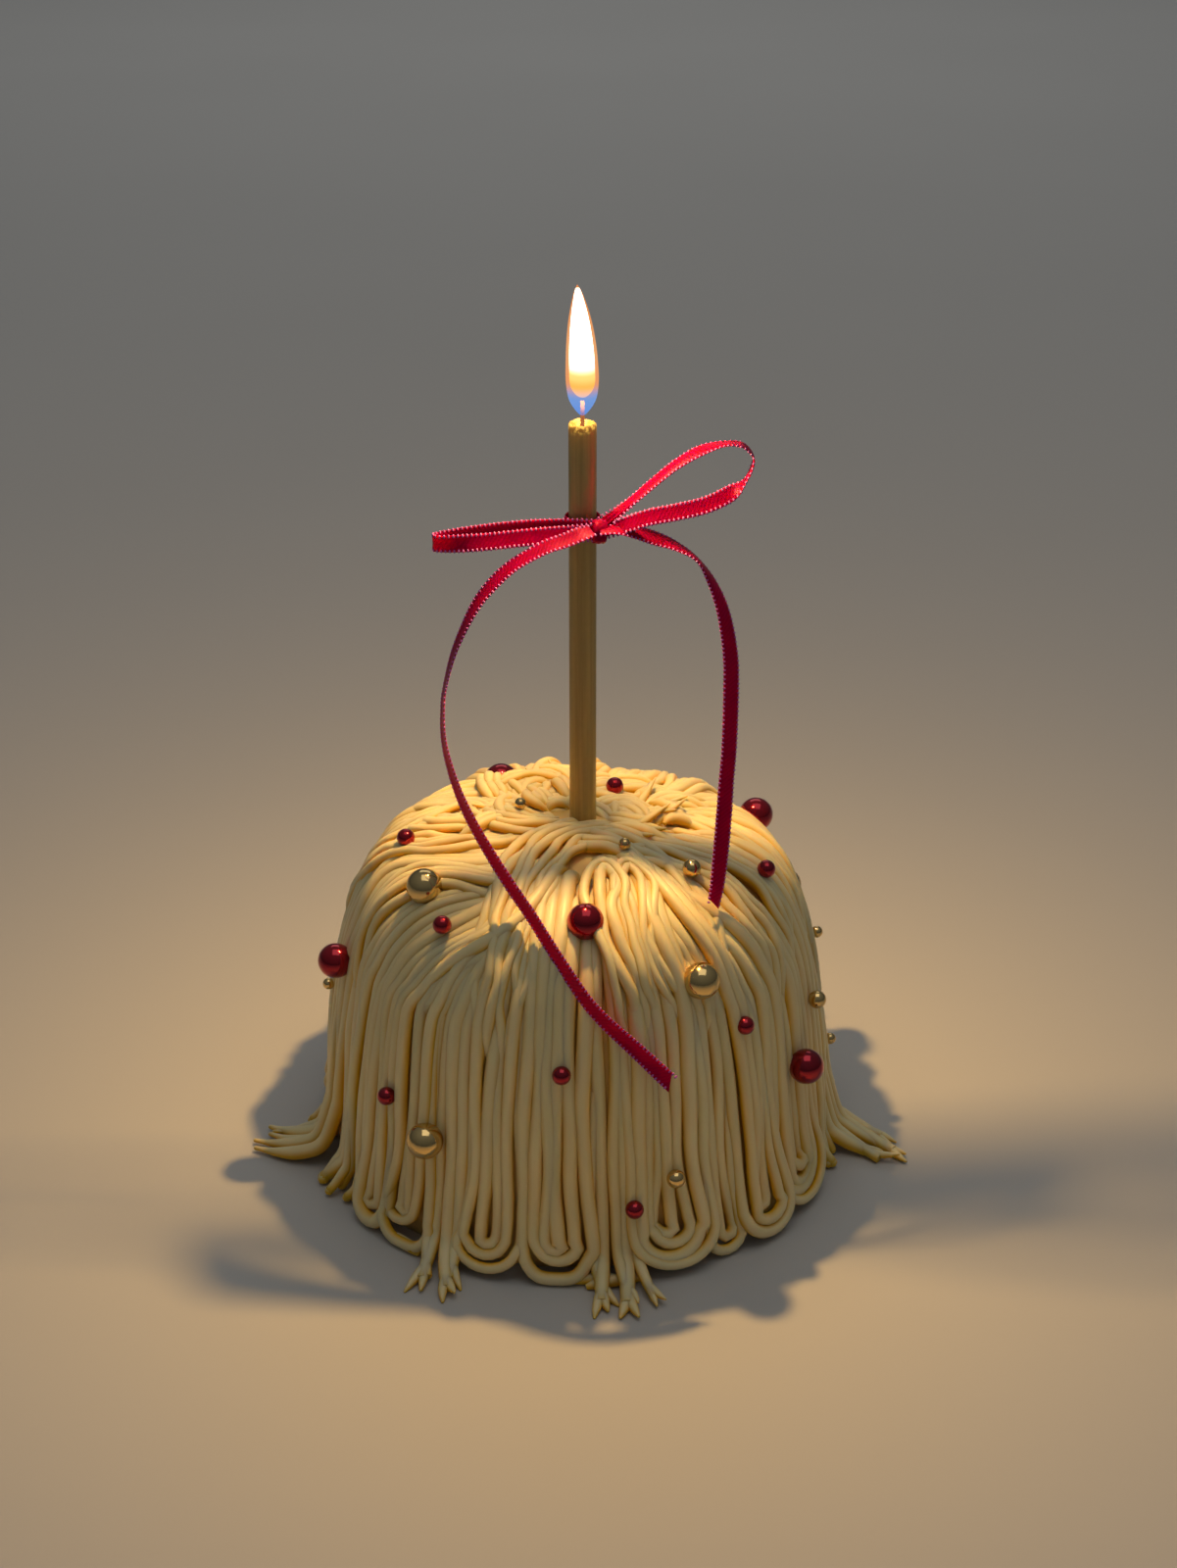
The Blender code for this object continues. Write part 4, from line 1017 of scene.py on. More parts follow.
def ranged(tree, value, low, high, start=0.0, end=1.0, kind="LINEAR"):
    """Value mapped from one range to another."""
    return add_node(tree, "ShaderNodeMapRange", {
        "Value": value, "From Min": low, "From Max": high, "To Min": start, "To Max": end},
        interpolation_type=kind).outputs["Result"]


def bumped(tree, texture, rise, strength):
    """Normal of a surface with the fine relief of a texture group."""
    return add_node(tree, "ShaderNodeBump", {
        "Height": texture.outputs["Height"], "Distance": rise, "Strength": strength})


def cream_material(settings):
    """Satin ivory cream, with painted shade in deeper yellow between its ridges."""
    material, tree, shader = principled("piped_cream")
    crevice_shade_mask = add_node(tree, "ShaderNodeAttribute", attribute_name="crevice_shade_mask")
    broad = grain(tree, 70.0, 0.45)
    fine = grain(tree, 900.0, 0.3, 3.0)
    # Painted shade: the mask turns the ivory into the darker crevice yellow between the ridges
    painted_crevice_shade = mixed(tree, crevice_shade_mask.outputs["Fac"], settings.ivory, settings.deep)
    connect(tree, shader, {
        "Base Color": mixed(tree, ranged(tree, broad, 0, 1, 0, 0.35), painted_crevice_shade,
                            dimmed(settings.ivory, 0.93), "MULTIPLY"),
        "Roughness": ranged(tree, fine, 0, 1, 0.34, 0.5),
        "Normal": bumped(tree, fine, 0.05 * MM, 0.7),
        "Subsurface Weight": 0.35,
        "Subsurface Radius": (1.0, 0.62, 0.28),
        "Subsurface Scale": 2.0 * MM,
        "Specular IOR Level": 0.42,
    })
    return material


def pearl_material(name, colour, metallic, coat):
    """Metallic sugar shell with a soft sheen and a few dull spots."""
    material, tree, shader = principled(name)
    fine = grain(tree, 1400.0)
    dull = ranged(tree, grain(tree, 260.0), 0, 1, 0, 0.5)
    connect(tree, shader, {
        "Base Color": mixed(tree, dull, colour, dimmed(colour, 0.72)),
        "Roughness": ranged(tree, fine, 0, 1, 0.08, 0.18),
        "Metallic": metallic,
        "Normal": bumped(tree, fine, 0.03 * MM, 0.5),
        "Coat Weight": coat,
        "Coat Roughness": 0.1,
    })
    return material


def candle_material(settings):
    """Satin gold coat with faint upright streaks of relief and of painted reflection, and a painted
    glow of the flame's light on the wax near its top.
    """
    material, tree, shader = principled("candle_gold")
    # Upright streaks: real relief through the bump, and painted reflection stripes as darker gold in
    # the base colour
    streak_relief_and_reflection = grain(tree, 900.0, 0.02, 3.0)
    fine = grain(tree, 2200.0, 0.4)
    height = height_in(tree)
    top = CANDLE_HIGH.z
    # Painted light: the top of the wax glows faintly, and its rim brightly in spots, as if lit by the
    # flame, though the candle is no lamp
    painted_glow_reach = ranged(tree, height, top - 7 * MM, top, kind="SMOOTHSTEP")
    glow = ranged(tree, height, top - 2.2 * MM, top - 0.1 * MM, kind="SMOOTHSTEP")
    painted_faint_glow = mixed(tree, painted_glow_reach, (0, 0, 0), (0.07, 0.02, 0.0))
    spots = ranged(tree, grain(tree, 1500.0, 0.8), 0.35, 0.75, kind="SMOOTHSTEP")
    painted_rim_glow = mixed(tree, spots, (0.20, 0.055, 0.0), (1.0, 0.55, 0.08))
    connect(tree, shader, {
        "Base Color": mixed(tree, streak_relief_and_reflection, settings.gold, dimmed(settings.gold, 0.66)),
        "Roughness": ranged(tree, fine, 0, 1, 0.42, 0.56),
        "Metallic": 0.6,
        "Normal": bumped(tree, streak_relief_and_reflection, 0.04 * MM, 0.6),
        "Emission Color": mixed(tree, glow, painted_faint_glow, painted_rim_glow),
        "Emission Strength": 0.9,
    })
    return material


def wick_material():
    """Charred cotton with a glowing end."""
    material, tree, shader = principled("wick_char")
    fine = grain(tree, 2600.0, 0.5, 3.0)
    top = WICK_HIGH.z
    glow = ranged(tree, height_in(tree), top - 2.4 * MM, top, kind="SMOOTHSTEP")
    connect(tree, shader, {
        "Base Color": mixed(tree, fine, (0.05, 0.03, 0.02), (0.16, 0.09, 0.05)),
        "Roughness": 0.9,
        "Normal": bumped(tree, fine, 0.1 * MM, 0.8),
        "Emission Color": mixed(tree, glow, (0.1, 0.03, 0.01), (1.0, 0.35, 0.06)),
        "Emission Strength": 3.0,
    })
    return material


def flame_material(name, stops, brightness, alpha):
    """Glowing flame, coloured by height; stops are shares of the flame's height and colours."""
    material, tree, shader = principled(name)
    share = ranged(tree, height_in(tree), FLAME_LOW.z, FLAME_HIGH.z)
    ramp = add_node(tree, "ShaderNodeValToRGB", {"Fac": share})
    ramp.color_ramp.interpolation = "EASE"
    elements = ramp.color_ramp.elements
    for index, (mark, colour) in enumerate(stops):
        stop = elements[index] if index < 2 else elements.new(mark)
        stop.position = mark
        stop.color = (*colour, 1)
    connect(tree, shader, {
        "Base Color": (0, 0, 0, 1),
        "Roughness": 1.0,
        "Specular IOR Level": 0.0,
        "Emission Color": ramp,
        "Emission Strength": brightness,
        "Alpha": alpha,
    })
    return material


def weave_group():
    """Satin weave on a ribbon's own map: fine threads along it, crossed by a faint slant."""
    group, source = new_group("Satin weave", (("Threads", 3600.0), ("Slant", 1500.0)),
                              ("Mask", "Height"))
    place = add_node(group, "ShaderNodeUVMap", uv_map="Ribbon")
    parts = add_node(group, "ShaderNodeSeparateXYZ", {"Vector": place})
    waves = []
    for along, across, rate in ((0.0, 1.0, "Threads"), (0.8, 0.6, "Slant")):
        run = maths(group, "MULTIPLY", parts.outputs["Y"], along)
        both = maths(group, "MULTIPLY_ADD", parts.outputs["X"], across, run)
        turns = maths(group, "MULTIPLY", both, source.outputs[rate])
        wave = maths(group, "SINE", maths(group, "MULTIPLY", turns, math.tau))
        waves.append(ranged(group, wave, -1, 1))
    height = maths(group, "MULTIPLY_ADD", waves[0], 0.6, waves[1])
    add_node(group, "NodeGroupOutput", {"Mask": waves[1], "Height": height})
    return group


def ribbon_material(settings):
    """Crimson satin with a sheen along its threads."""
    material, tree, shader = principled("ribbon_satin")
    weave = add_node(tree, "ShaderNodeGroup", node_tree=weave_group())
    broad = ranged(tree, grain(tree, 120.0), 0, 1, 0, 0.3)
    woven = mixed(tree, weave, settings.satin, dimmed(settings.satin, 1.25))
    connect(tree, shader, {
        "Base Color": mixed(tree, broad, woven, dimmed(settings.satin, 0.7)),
        "Roughness": ranged(tree, weave, 0, 1, 0.3, 0.42),
        "Normal": bumped(tree, weave, 0.03 * MM, 0.5),
        "Anisotropic": 0.6,
        "Anisotropic Rotation": 0.25,
        "Tangent": add_node(tree, "ShaderNodeTangent", direction_type="UV_MAP", uv_map="Ribbon"),
        "Specular IOR Level": 0.16,
        "Specular Tint": (1.0, 0.04, 0.3, 1),
        "Subsurface Weight": 0.9,
        "Subsurface Radius": (1.0, 0.03, 0.12),
        "Subsurface Scale": 1.5 * MM,
    })
    return material


def thread_material(settings):
    """Lighter, shiny thread of the stitched edges."""
    material, tree, shader = principled("ribbon_thread")
    fine = grain(tree, 3000.0)
    connect(tree, shader, {
        "Base Color": mixed(tree, fine, settings.thread, dimmed(settings.thread, 0.6)),
        "Roughness": ranged(tree, fine, 0, 1, 0.25, 0.4),
        "Normal": bumped(tree, fine, 0.03 * MM, 0.5),
        "Specular IOR Level": 0.3,
    })
    return material


def floor_material(settings):
    """Plain pale floor with a very faint unevenness."""
    material, tree, shader = principled("floor")
    connect(tree, shader, {
        "Base Color": mixed(tree, grain(tree, 3.0), settings.floor, dimmed(settings.floor, 0.97)),
        "Roughness": 0.75,
        "Specular IOR Level": 0.25,
    })
    return material


def turned_piece(name, profile, sides, place, material, shift=None):
    """Piece turned round an upright axis from (radius, height) points, both ends on the axis."""
    shape = bmesh.new()
    rings = []
    for radius, height in profile[1:-1]:
        ring = []
        for side in range(sides):
            turn = math.tau * side / sides
            across, up = shift(radius, height, turn) if shift else (radius, height)
            ring.append(shape.verts.new((place[0] + across * math.cos(turn),
                                         place[1] + across * math.sin(turn), up)))
        rings.append(ring)
    ends = [shape.verts.new((place[0], place[1], profile[end][1])) for end in (0, -1)]
    for side in range(sides):
        after = (side + 1) % sides
        shape.faces.new((ends[0], rings[0][after], rings[0][side]))
        shape.faces.new((ends[1], rings[-1][side], rings[-1][after]))
        for low, high in zip(rings, rings[1:]):
            shape.faces.new((low[side], low[after], high[after], high[side]))
    bmesh.ops.recalc_face_normals(shape, faces=shape.faces)
    mesh = bpy.data.meshes.new(name)
    shape.to_mesh(mesh)
    shape.free()
    mesh.materials.append(material)
    mesh.shade_smooth()
    return add_object(name, mesh)


def route_frames(route, steps):
    """Points of a ribbon's smooth route with its width and face directions."""
    rows = np.array(route, float)
    path = smooth_path(rows[:, :3] * MM, steps)
    widths = smooth_path(rows[:, 3:], steps)
    tangents = unit(np.gradient(path, axis=0))
    across = unit(widths - np.sum(widths * tangents, axis=1)[:, None] * tangents)
    return path, across, unit(np.cross(tangents, across)), tangents


def ribbon_shape(name, frames, settings, material, cut=0.0, closed=False, pinch=None):
    """Satin strip, a little cupped, along a route of points with their directions."""
    path, across, faces, tangents = frames
    shares = np.array(STRIP_SHARES)
    half = settings.width / 2
    points = []
    marks = []
    lengths = lengths_along(path)
    last = len(path) - 1
    for index, (point, side, face, ahead) in enumerate(zip(path, across, faces, tangents)):
        narrow = 1.0 if pinch is None else pinch[index]
        for sign in (1, -1):
            for share in shares[::sign]:
                thick = settings.thickness / 2 * math.sqrt(max(1 - share ** 8, 0.04))
                cup = STRIP_CUP * (1 - share ** 2) + (1 - narrow) * 0.5 * MM * math.cos(share * 9)
                slant = cut * share * MM if index == last else 0.0
                points.append(point + side * share * half * narrow + face * (cup + sign * thick)
                              + ahead * slant)
                marks.append((share * half, lengths[index]))
    ring = 2 * len(shares)
    quads = []
    for index in range(len(path) if closed else last):
        start, after = index * ring, (index + 1) % len(path) * ring
        for corner in range(ring):
            turn = (corner + 1) % ring
            quads.append((start + corner, start + turn, after + turn, after + corner))
    caps = [] if closed else [tuple(range(ring)), tuple(last * ring + i for i in range(ring))]
    piece = mesh_object(name, points, (), quads + caps)
    shape = bmesh.new()
    shape.from_mesh(piece.data)
    bmesh.ops.triangulate(shape, faces=[face for face in shape.faces if len(face.verts) > 4])
    bmesh.ops.recalc_face_normals(shape, faces=shape.faces)
    shape.to_mesh(piece.data)
    shape.free()
    layer = piece.data.uv_layers.new(name="Ribbon")
    corners = np.zeros(len(piece.data.loops), int)
    piece.data.loops.foreach_get("vertex_index", corners)
    layer.data.foreach_set("uv", np.array(marks)[corners].ravel())
    piece.data.materials.append(material)
    piece.data.shade_smooth()
    piece.data.set_sharp_from_angle(angle=math.radians(50))
    return piece


def stitched_edges(name, frames, settings, material):
    """Stitches along both edges of a strip."""
    path, across, faces = spaced(frames[0], settings.stitch_pitch, *frames[1:3])
    inset = across * (settings.width / 2 - STITCH_INSET)
    raised = path + faces * STITCH_RISE
    holder = mesh_object("edge_points", np.vstack((raised - inset, raised + inset)))
    set_attribute(holder, "across", "FLOAT_VECTOR", np.vstack((across, across)))
    return shaped(name, holder, once("stitches", stitch_tree), {
        "Length": STITCH_LENGTH, "Thickness": settings.thickness + STITCH_RELIEF,
        "Material": material})


def add_light(name, kind, watts, colour, place, turn=(0, 0, 0)):
    """New light of the scene."""
    lamp = bpy.data.lights.new(name, kind)
    lamp.energy = watts
    lamp.color = colour
    holder = add_object(name, lamp)
    holder.location = place
    holder.rotation_euler = turn
    return lamp


TREES = {}


def once(name, make, *values):
    """Tree or material that several pieces share, made when the first of them needs it."""
    if name not in TREES:
        TREES[name] = make(*values)
    return TREES[name]


def ribbon_part(name, node, route, settings, cut=0.0, pinched=False):
    """Finished strip, its stitched edges and the points of its route."""
    satin = once("ribbon", ribbon_material, settings)
    thread = once("thread", thread_material, settings)
    frames = route_frames(route, ROUTE_STEPS)
    share = np.linspace(0, 1, len(frames[0]))
    pinch = 0.72 + 0.28 * eased(np.minimum(share, 1 - share) / 0.16) if pinched else None
    strip = ribbon_shape(name, frames, settings, satin, cut, pinch=pinch)
    finish_piece(strip, "ribbon_red", node)
    stitches = stitched_edges(f"{name}_stitches", frames, settings, thread)
    finish_piece(stitches, "ribbon_red", node)
    return strip, stitches, frames[0]


class PieceOperator:
    """What every operator of the cake shares."""

    bl_options = {"REGISTER", "UNDO"}


class CAKE_OT_camera(PieceOperator, bpy.types.Operator):
    """Place the camera at the height and pitch from which the cake is seen"""

    bl_idname = "cake.camera"
    bl_label = "Camera"

    def execute(self, context):
        data = bpy.data.cameras.new("camera")
        data.lens = CAMERA_LENS
        data.clip_start = 0.01
        data.clip_end = 60
        camera = add_object("camera", data)
        camera.location = CAMERA_PLACE
        camera.rotation_euler = (math.radians(90 - CAMERA_PITCH), 0, 0)
        context.scene.camera = camera
        return {"FINISHED"}


class CAKE_OT_ribbon_ends(PieceOperator, bpy.types.Operator):
    """Make the two free ends of the ribbon, which curl down from the knot"""

    bl_idname = "cake.ribbon_ends"
    bl_label = "Ribbon ends"

    def execute(self, context):
        settings = context.scene.cake_ribbon
        for side, route, cut in (("left", LEFT_TAIL, 1.2), ("right", RIGHT_TAIL, 0.7)):
            end, stitches, path = ribbon_part(f"ribbon_end_{side}", f"ribbon_tail_{side}", route,
                                              settings, cut)
        return {"FINISHED"}


class CAKE_OT_bow(PieceOperator, bpy.types.Operator):
    """Tie the ribbon round the candle: two loops, the wrap and the knot"""

    bl_idname = "cake.bow"
    bl_label = "Ribbon bow"

    def execute(self, context):
        settings = context.scene.cake_ribbon
        for side, route in (("left", LEFT_LOOP), ("right", RIGHT_LOOP)):
            ribbon_part(f"bow_loop_{side}", "ribbon_bow", route, settings, pinched=True)
        self.ring("bow_wrap", (CANDLE_CENTRE.x, CANDLE_CENTRE.y, TIE_HEIGHT), (1, 0, 0),
                  (0, 1, 0), TIE_REACH, TIE_REACH, settings)
        self.ring("bow_knot", KNOT_CENTRE, (-0.15, 1, 0), (0.1, 0, 1), KNOT_REACH, KNOT_RISE,
                  settings, 0.86)
        return {"FINISHED"}

    def ring(self, name, centre, first, second, reach, rise, settings, narrow=1.0):
        """Closed ring of ribbon round a centre, in the plane of two directions."""
        first, second = unit(np.array(first, float)), unit(np.array(second, float))
        turns = np.linspace(0, math.tau, 41)[:-1, None]
        path = (np.array(centre) + first * np.cos(turns) * reach + second * np.sin(turns) * rise)
        faces = unit(first * np.cos(turns) / reach + second * np.sin(turns) / rise)
        tangents = unit(-first * np.sin(turns) * reach + second * np.cos(turns) * rise)
        across = unit(np.cross(faces, tangents))
        satin = once("ribbon", ribbon_material, settings)
        piece = ribbon_shape(name, (path, across, faces, tangents), settings, satin,
                             closed=True, pinch=np.full(len(path), narrow))
        finish_piece(piece, "ribbon_red", "ribbon_bow")


class CAKE_OT_cream_core(PieceOperator, bpy.types.Operator):
    """Make the body of cream under the strands, with its flat foot"""

    bl_idname = "cake.cream_core"
    bl_label = "Cream core"

    def execute(self, context):
        settings = context.scene.cake_cream
        profile = [(0, 0)]
        for climb in np.concatenate(([0], np.linspace(2, 88, 44) * MM)):
            radius, height, across, up = (float(value) for value in outline_at(np.array(climb)))
            sunk = CORE_SUNK - 1.6 * MM * float(eased(1 - climb / (9 * MM)))
            profile.append((radius + across * sunk, max(height + up * sunk, 0)))
        for radius_mm, rise_mm in CORE_TOP_MM:
            profile.append((radius_mm * MM, CROWN_HEIGHT + rise_mm * MM))
        core = turned_piece("cream_core", profile, 96, (0, 0),
                            once("cream", cream_material, settings))
        # Painted shade: the whole core takes part of the crevice colour, as it shows only deep between
        # the strands
        set_attribute(core, "crevice_shade_mask", "FLOAT", np.full(len(core.data.vertices), CORE_SHADE_SHARE))
        finish_piece(core, "cream", "cake")
        return {"FINISHED"}


class CAKE_OT_cream_loops(PieceOperator, bpy.types.Operator):
    """Lay the strands that turn back in nested loops at the foot"""

    bl_idname = "cake.cream_loops"
    bl_label = "Cream loops"

    def execute(self, context):
        settings = context.scene.cake_cream
        comb = Comb(settings, 1)
        strands = Strands(settings.spacing)
        for azimuth, lines, extra_mm, left_layer, right_layer in LOOPS:
            comb.loop(strands, azimuth, lines, extra_mm * MM, (left_layer, right_layer))
        strands.pipe("cream_loops", settings)
        return {"FINISHED"}


class CAKE_OT_cream_fringes(PieceOperator, bpy.types.Operator):
    """Lay the strands that end in torn tips on the surface round the cake"""

    bl_idname = "cake.cream_fringes"
    bl_label = "Cream fringes"

    def execute(self, context):
        settings = context.scene.cake_cream
        comb = Comb(settings, 2)
        strands = Strands(settings.spacing)
        for azimuth, count, tip_azimuth, tip_radius_mm, layer, spread, ending in FRINGES:
            comb.fringe(strands, azimuth, count, tip_azimuth, tip_radius_mm * MM, layer,
                        spread, ending)
        for azimuths, radii_mm in SCRAPS:
            comb.scrap(strands, azimuths, radii_mm)
        strands.pipe("cream_fringes", settings)
        return {"FINISHED"}


class CAKE_OT_cream_crown(PieceOperator, bpy.types.Operator):
    """Lay the tresses and the short noodles that cover the crown"""

    bl_idname = "cake.cream_crown"
    bl_label = "Cream crown"

    def execute(self, context):
        settings = context.scene.cake_cream
        comb = Comb(settings, 3)
        chance = comb.chance
        strands = Strands(settings.spacing * 0.8)
        for count, route in TOP_TRESSES:
            comb.top_tress(strands, count, route)
        for index in range(settings.noodles):
            azimuth, climb_mm, rise_mm = (chance.uniform(*reach)
                                          for reach in NOODLE_BEDS[index % len(NOODLE_BEDS)])
            heading = math.radians(azimuth - 90) + chance.uniform(-1.3, 1.3)
            comb.noodle(strands, azimuth, climb_mm * MM, heading, chance.uniform(10, 18) * MM,
                        rise_mm * MM, chance.choice((2, 3, 4)))
        for azimuth, climb_mm in SPIKES:
            comb.spike(strands, azimuth, climb_mm * MM)
        strands.pipe("cream_crown", settings)
        return {"FINISHED"}


class CAKE_OT_pearls(PieceOperator, bpy.types.Operator):
    """Set the sugar pearls in the cream"""

    bl_idname = "cake.pearls"
    bl_label = "Sugar pearls"

    def execute(self, context):
        settings = context.scene.cake_pearls
        finishes = {
            "red": pearl_material("pearl_red", settings.red, 0.9, 0.5),
            "gold": pearl_material("pearl_gold", settings.gold, 1.0, 0.0),
        }
        for colour, finish in finishes.items():
            nodes = sorted(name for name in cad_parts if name.startswith(f"pearl_{colour}"))
            boxes = [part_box(name) for name in nodes]
            large = self.balls(f"pearls_large_{colour}", [(low + high) / 2 for low, high in boxes],
                               [max(high - low) / 2 for low, high in boxes], finish,
                               settings.segments)
            finish_piece(large, f"pearl_{colour}", *nodes)
            points = []
            sizes = []
            for table, radius in ((MEDIUM_PEARLS, MEDIUM_PEARL_RADIUS),
                                  (SMALL_PEARLS, SMALL_PEARL_RADIUS)):
                for pearl_colour, azimuth, climb_mm, lift_mm in table:
                    if pearl_colour == colour:
                        place, outward = cream_line([azimuth], [climb_mm * MM], [lift_mm * MM])
                        points.append(place[0])
                        sizes.append(radius)
            small = self.balls(f"pearls_small_{colour}", points, sizes, finish,
                               int(settings.segments * 0.7))
            finish_piece(small, f"pearl_{colour}", "cake")
        return {"FINISHED"}

    def balls(self, name, points, sizes, finish, segments):
        """Pearls of one colour at points."""
        holder = mesh_object("pearl_points", points)
        set_attribute(holder, "size", "FLOAT", sizes)
        return shaped(name, holder, once("pearls", pearl_tree),
                      {"Segments": segments, "Material": finish})


class CAKE_OT_candle(PieceOperator, bpy.types.Operator):
    """Make the thin gold candle with its melted rim, and its wick"""

    bl_idname = "cake.candle"
    bl_label = "Candle"

    def execute(self, context):
        settings = context.scene.cake_candle
        top = CANDLE_HIGH.z
        low = CANDLE_LOW.z
        profile = [(0, low), (CANDLE_RADIUS * 0.97, low)]
        profile += [(CANDLE_RADIUS, height)
                    for height in np.linspace(low + 0.5 * MM, top - 3 * MM, 30)]
        profile += [(CANDLE_RADIUS * share, top - depth_mm * MM)
                    for share, depth_mm in CANDLE_RIM]

        def melt(across, height, turn):
            """Let the rim run unevenly."""
            near = eased((height - (top - 1.8 * MM)) / (1.8 * MM))
            wave = math.sin(2 * turn + 0.6) * 0.6 + math.sin(5 * turn + 2) * 0.4
            return across * (1 + 0.012 * near * wave), height - near * 0.16 * MM * (1 + wave)

        place = (CANDLE_CENTRE.x, CANDLE_CENTRE.y)
        candle = turned_piece("candle_stick", profile, settings.sides, place,
                              candle_material(settings), melt)
        candle.data.set_sharp_from_angle(angle=math.radians(60))
        finish_piece(candle, "candle_gold", "candle")
        wick = Strands(0.35 * MM)
        heights = np.linspace(WICK_LOW.z, WICK_HIGH.z, 24)
        for thread in range(3):
            turns = math.tau * thread / 3 + (heights - WICK_LOW.z) / WICK_TWIST * math.tau
            out = np.stack((np.cos(turns), np.sin(turns), 0 * turns), axis=-1)
            middle = np.stack((0 * turns + place[0], 0 * turns + place[1], heights), axis=-1)
            wick.lay(middle + WICK_THREAD * out, out,
                     WICK_THREAD * np.linspace(1, 0.75, len(heights)))
        piece = wick.build("wick_twist", 8, wick_material())
        finish_piece(piece, "wick", "wick")
        return {"FINISHED"}


class CAKE_OT_flame(PieceOperator, bpy.types.Operator):
    """Make the flame: a thin coloured veil round a white heart, and the light that it throws"""

    bl_idname = "cake.flame"
    bl_label = "Flame"

    def execute(self, context):
        settings = context.scene.cake_candle
        height = FLAME_HIGH.z - FLAME_LOW.z
        half = (FLAME_HIGH.x - FLAME_LOW.x) / 2
        marks, widths = (np.array(column, float) for column in zip(*FLAME_OUTLINE))

        def shell(name, start, end, share, material):
            """Closed body of the flame between two shares of its height."""
            ups = np.linspace(0, 1, 36) ** 1.3
            profile = [(0, FLAME_LOW.z + start * height)]
            for up in ups:
                whole = start + (end - start) * up
                body = smooth_values(np.array(whole), marks, widths) * half * share
                ends = math.sqrt(max(1 - (1 - min(up / 0.16, 1)) ** 2, 0.0005))
                profile.append((float(body) * ends + 0.01 * MM, FLAME_LOW.z + whole * height))
            profile.append((0, FLAME_LOW.z + end * height))
            piece = turned_piece(name, profile, 40, (CANDLE_CENTRE.x, CANDLE_CENTRE.y), material)
            lean(piece)
            piece.visible_shadow = False
            finish_piece(piece, "flame", "flame")

        def lean(piece):
            """Bend the flame a little to one side, more towards its tip."""
            base = WICK_HIGH.z
            for corner in piece.data.vertices:
                share = max(corner.co.z - base, 0) / (FLAME_HIGH.z - base)
                corner.co.x += FLAME_LEAN * share ** 2

        bright = settings.flame_brightness
        veil = flame_material("flame_veil", VEIL_STOPS, bright * 0.13, 0.42)
        heart = flame_material("flame_heart", HEART_STOPS, bright, 1.0)
        shell("flame_veil", 0.0, 1.0, 1.0, veil)
        shell("flame_heart", 0.14, 0.97, 0.78, heart)
        lamp = add_light("flame_light", "POINT", settings.flame_power, FLAME_GLOW,
                         (CANDLE_CENTRE.x, CANDLE_CENTRE.y, FLAME_LOW.z + 0.4 * height))
        lamp.shadow_soft_size = FLAME_LIGHT_RADIUS
        lamp.use_nodes = True
        fading = add_node(lamp.node_tree, "ShaderNodeLightFalloff",
                          {"Strength": 1.0, "Smooth": FLAME_EVENNESS})
        connect(lamp.node_tree, lamp.node_tree.nodes["Emission"],
                {"Strength": fading.outputs["Quadratic"]})
        return {"FINISHED"}


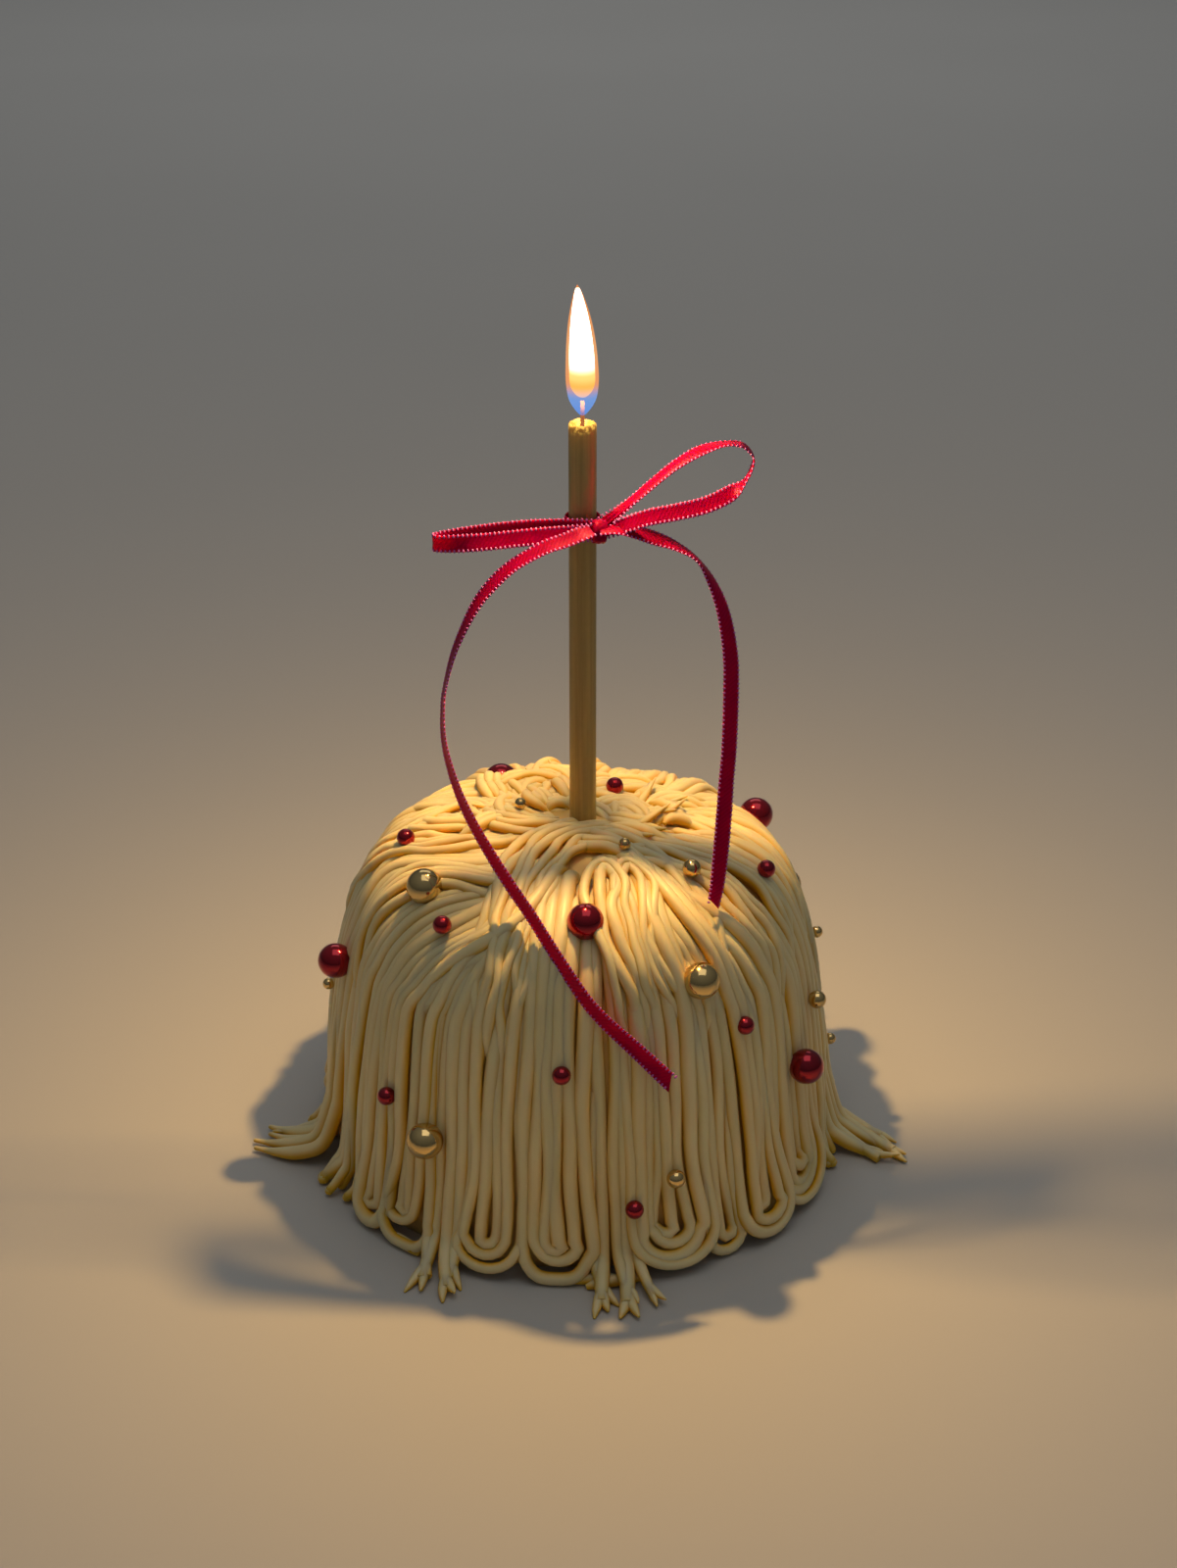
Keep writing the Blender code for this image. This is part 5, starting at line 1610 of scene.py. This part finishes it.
class CAKE_OT_stage(PieceOperator, bpy.types.Operator):
    """Lay the plain pale floor and set the soft light"""

    bl_idname = "cake.stage"
    bl_label = "Floor and light"

    def execute(self, context):
        settings = context.scene.cake_stage
        corners = [(x * FLOOR_REACH, y * FLOOR_REACH, 0)
                   for x, y in ((-1, -1), (1, -1), (1, 1), (-1, 1))]
        floor = mesh_object("floor", corners, (), [(0, 1, 2, 3)])
        floor.data.materials.append(floor_material(settings))
        world = bpy.data.worlds.new("surroundings")
        world.use_nodes = True
        background = world.node_tree.nodes["Background"]
        around = add_node(world.node_tree, "ShaderNodeTexCoord")
        parts = add_node(world.node_tree, "ShaderNodeSeparateXYZ",
                         {"Vector": around.outputs["Generated"]})
        strength = ranged(world.node_tree, parts.outputs["Z"], 0.0, 1.0,
                          settings.sky * HORIZON_SHARE, settings.sky)
        connect(world.node_tree, background, {"Color": SKY_COLOUR, "Strength": strength})
        context.scene.world = world
        for name, place, size, share, colour in BROAD_LIGHTS:
            aim = Vector((-place[0], 0, -place[2]))
            lamp = add_light(name, "AREA", settings.soft_power * share, colour, place,
                             aim.to_track_quat("-Z", "Y").to_euler())
            lamp.size = size
        context.scene.view_settings.view_transform = "Standard"
        return {"FINISHED"}


SETTINGS = (
    ("cake_cream", CakeCreamSettings),
    ("cake_pearls", CakePearlSettings),
    ("cake_candle", CakeCandleSettings),
    ("cake_ribbon", CakeRibbonSettings),
    ("cake_stage", CakeStageSettings),
)
OPERATORS = (
    CAKE_OT_camera,
    CAKE_OT_ribbon_ends,
    CAKE_OT_bow,
    CAKE_OT_cream_core,
    CAKE_OT_cream_loops,
    CAKE_OT_cream_fringes,
    CAKE_OT_cream_crown,
    CAKE_OT_pearls,
    CAKE_OT_candle,
    CAKE_OT_flame,
    CAKE_OT_stage,
)


class CAKE_PT_panel(bpy.types.Panel):
    """Sidebar panel with the sizes, the colours and one button for each piece"""

    bl_idname = "CAKE_PT_panel"
    bl_label = "Piped Cream Birthday Cake"
    bl_space_type = "VIEW_3D"
    bl_region_type = "UI"
    bl_category = "Cake"

    def draw(self, context):
        for name, group in SETTINGS:
            box = self.layout.box()
            settings = getattr(context.scene, name)
            for key in group.__annotations__:
                box.prop(settings, key)
        for operator in OPERATORS:
            self.layout.operator(operator.bl_idname)


def register():
    """Add the settings, the operators and the panel to Blender."""
    for name, group in SETTINGS:
        bpy.utils.register_class(group)
        setattr(bpy.types.Scene, name, PointerProperty(type=group))
    for operator in OPERATORS:
        bpy.utils.register_class(operator)
    bpy.utils.register_class(CAKE_PT_panel)


def unregister():
    """Take the panel, the operators and the settings out of Blender again."""
    bpy.utils.unregister_class(CAKE_PT_panel)
    for operator in reversed(OPERATORS):
        bpy.utils.unregister_class(operator)
    for name, group in reversed(SETTINGS):
        delattr(bpy.types.Scene, name)
        bpy.utils.unregister_class(group)


def main():
    """Register the add-on and make every piece in order."""
    register()
    for operator in OPERATORS:
        getattr(bpy.ops.cake, operator.bl_idname.split(".")[1])()


if __name__ == "__main__":
    main()
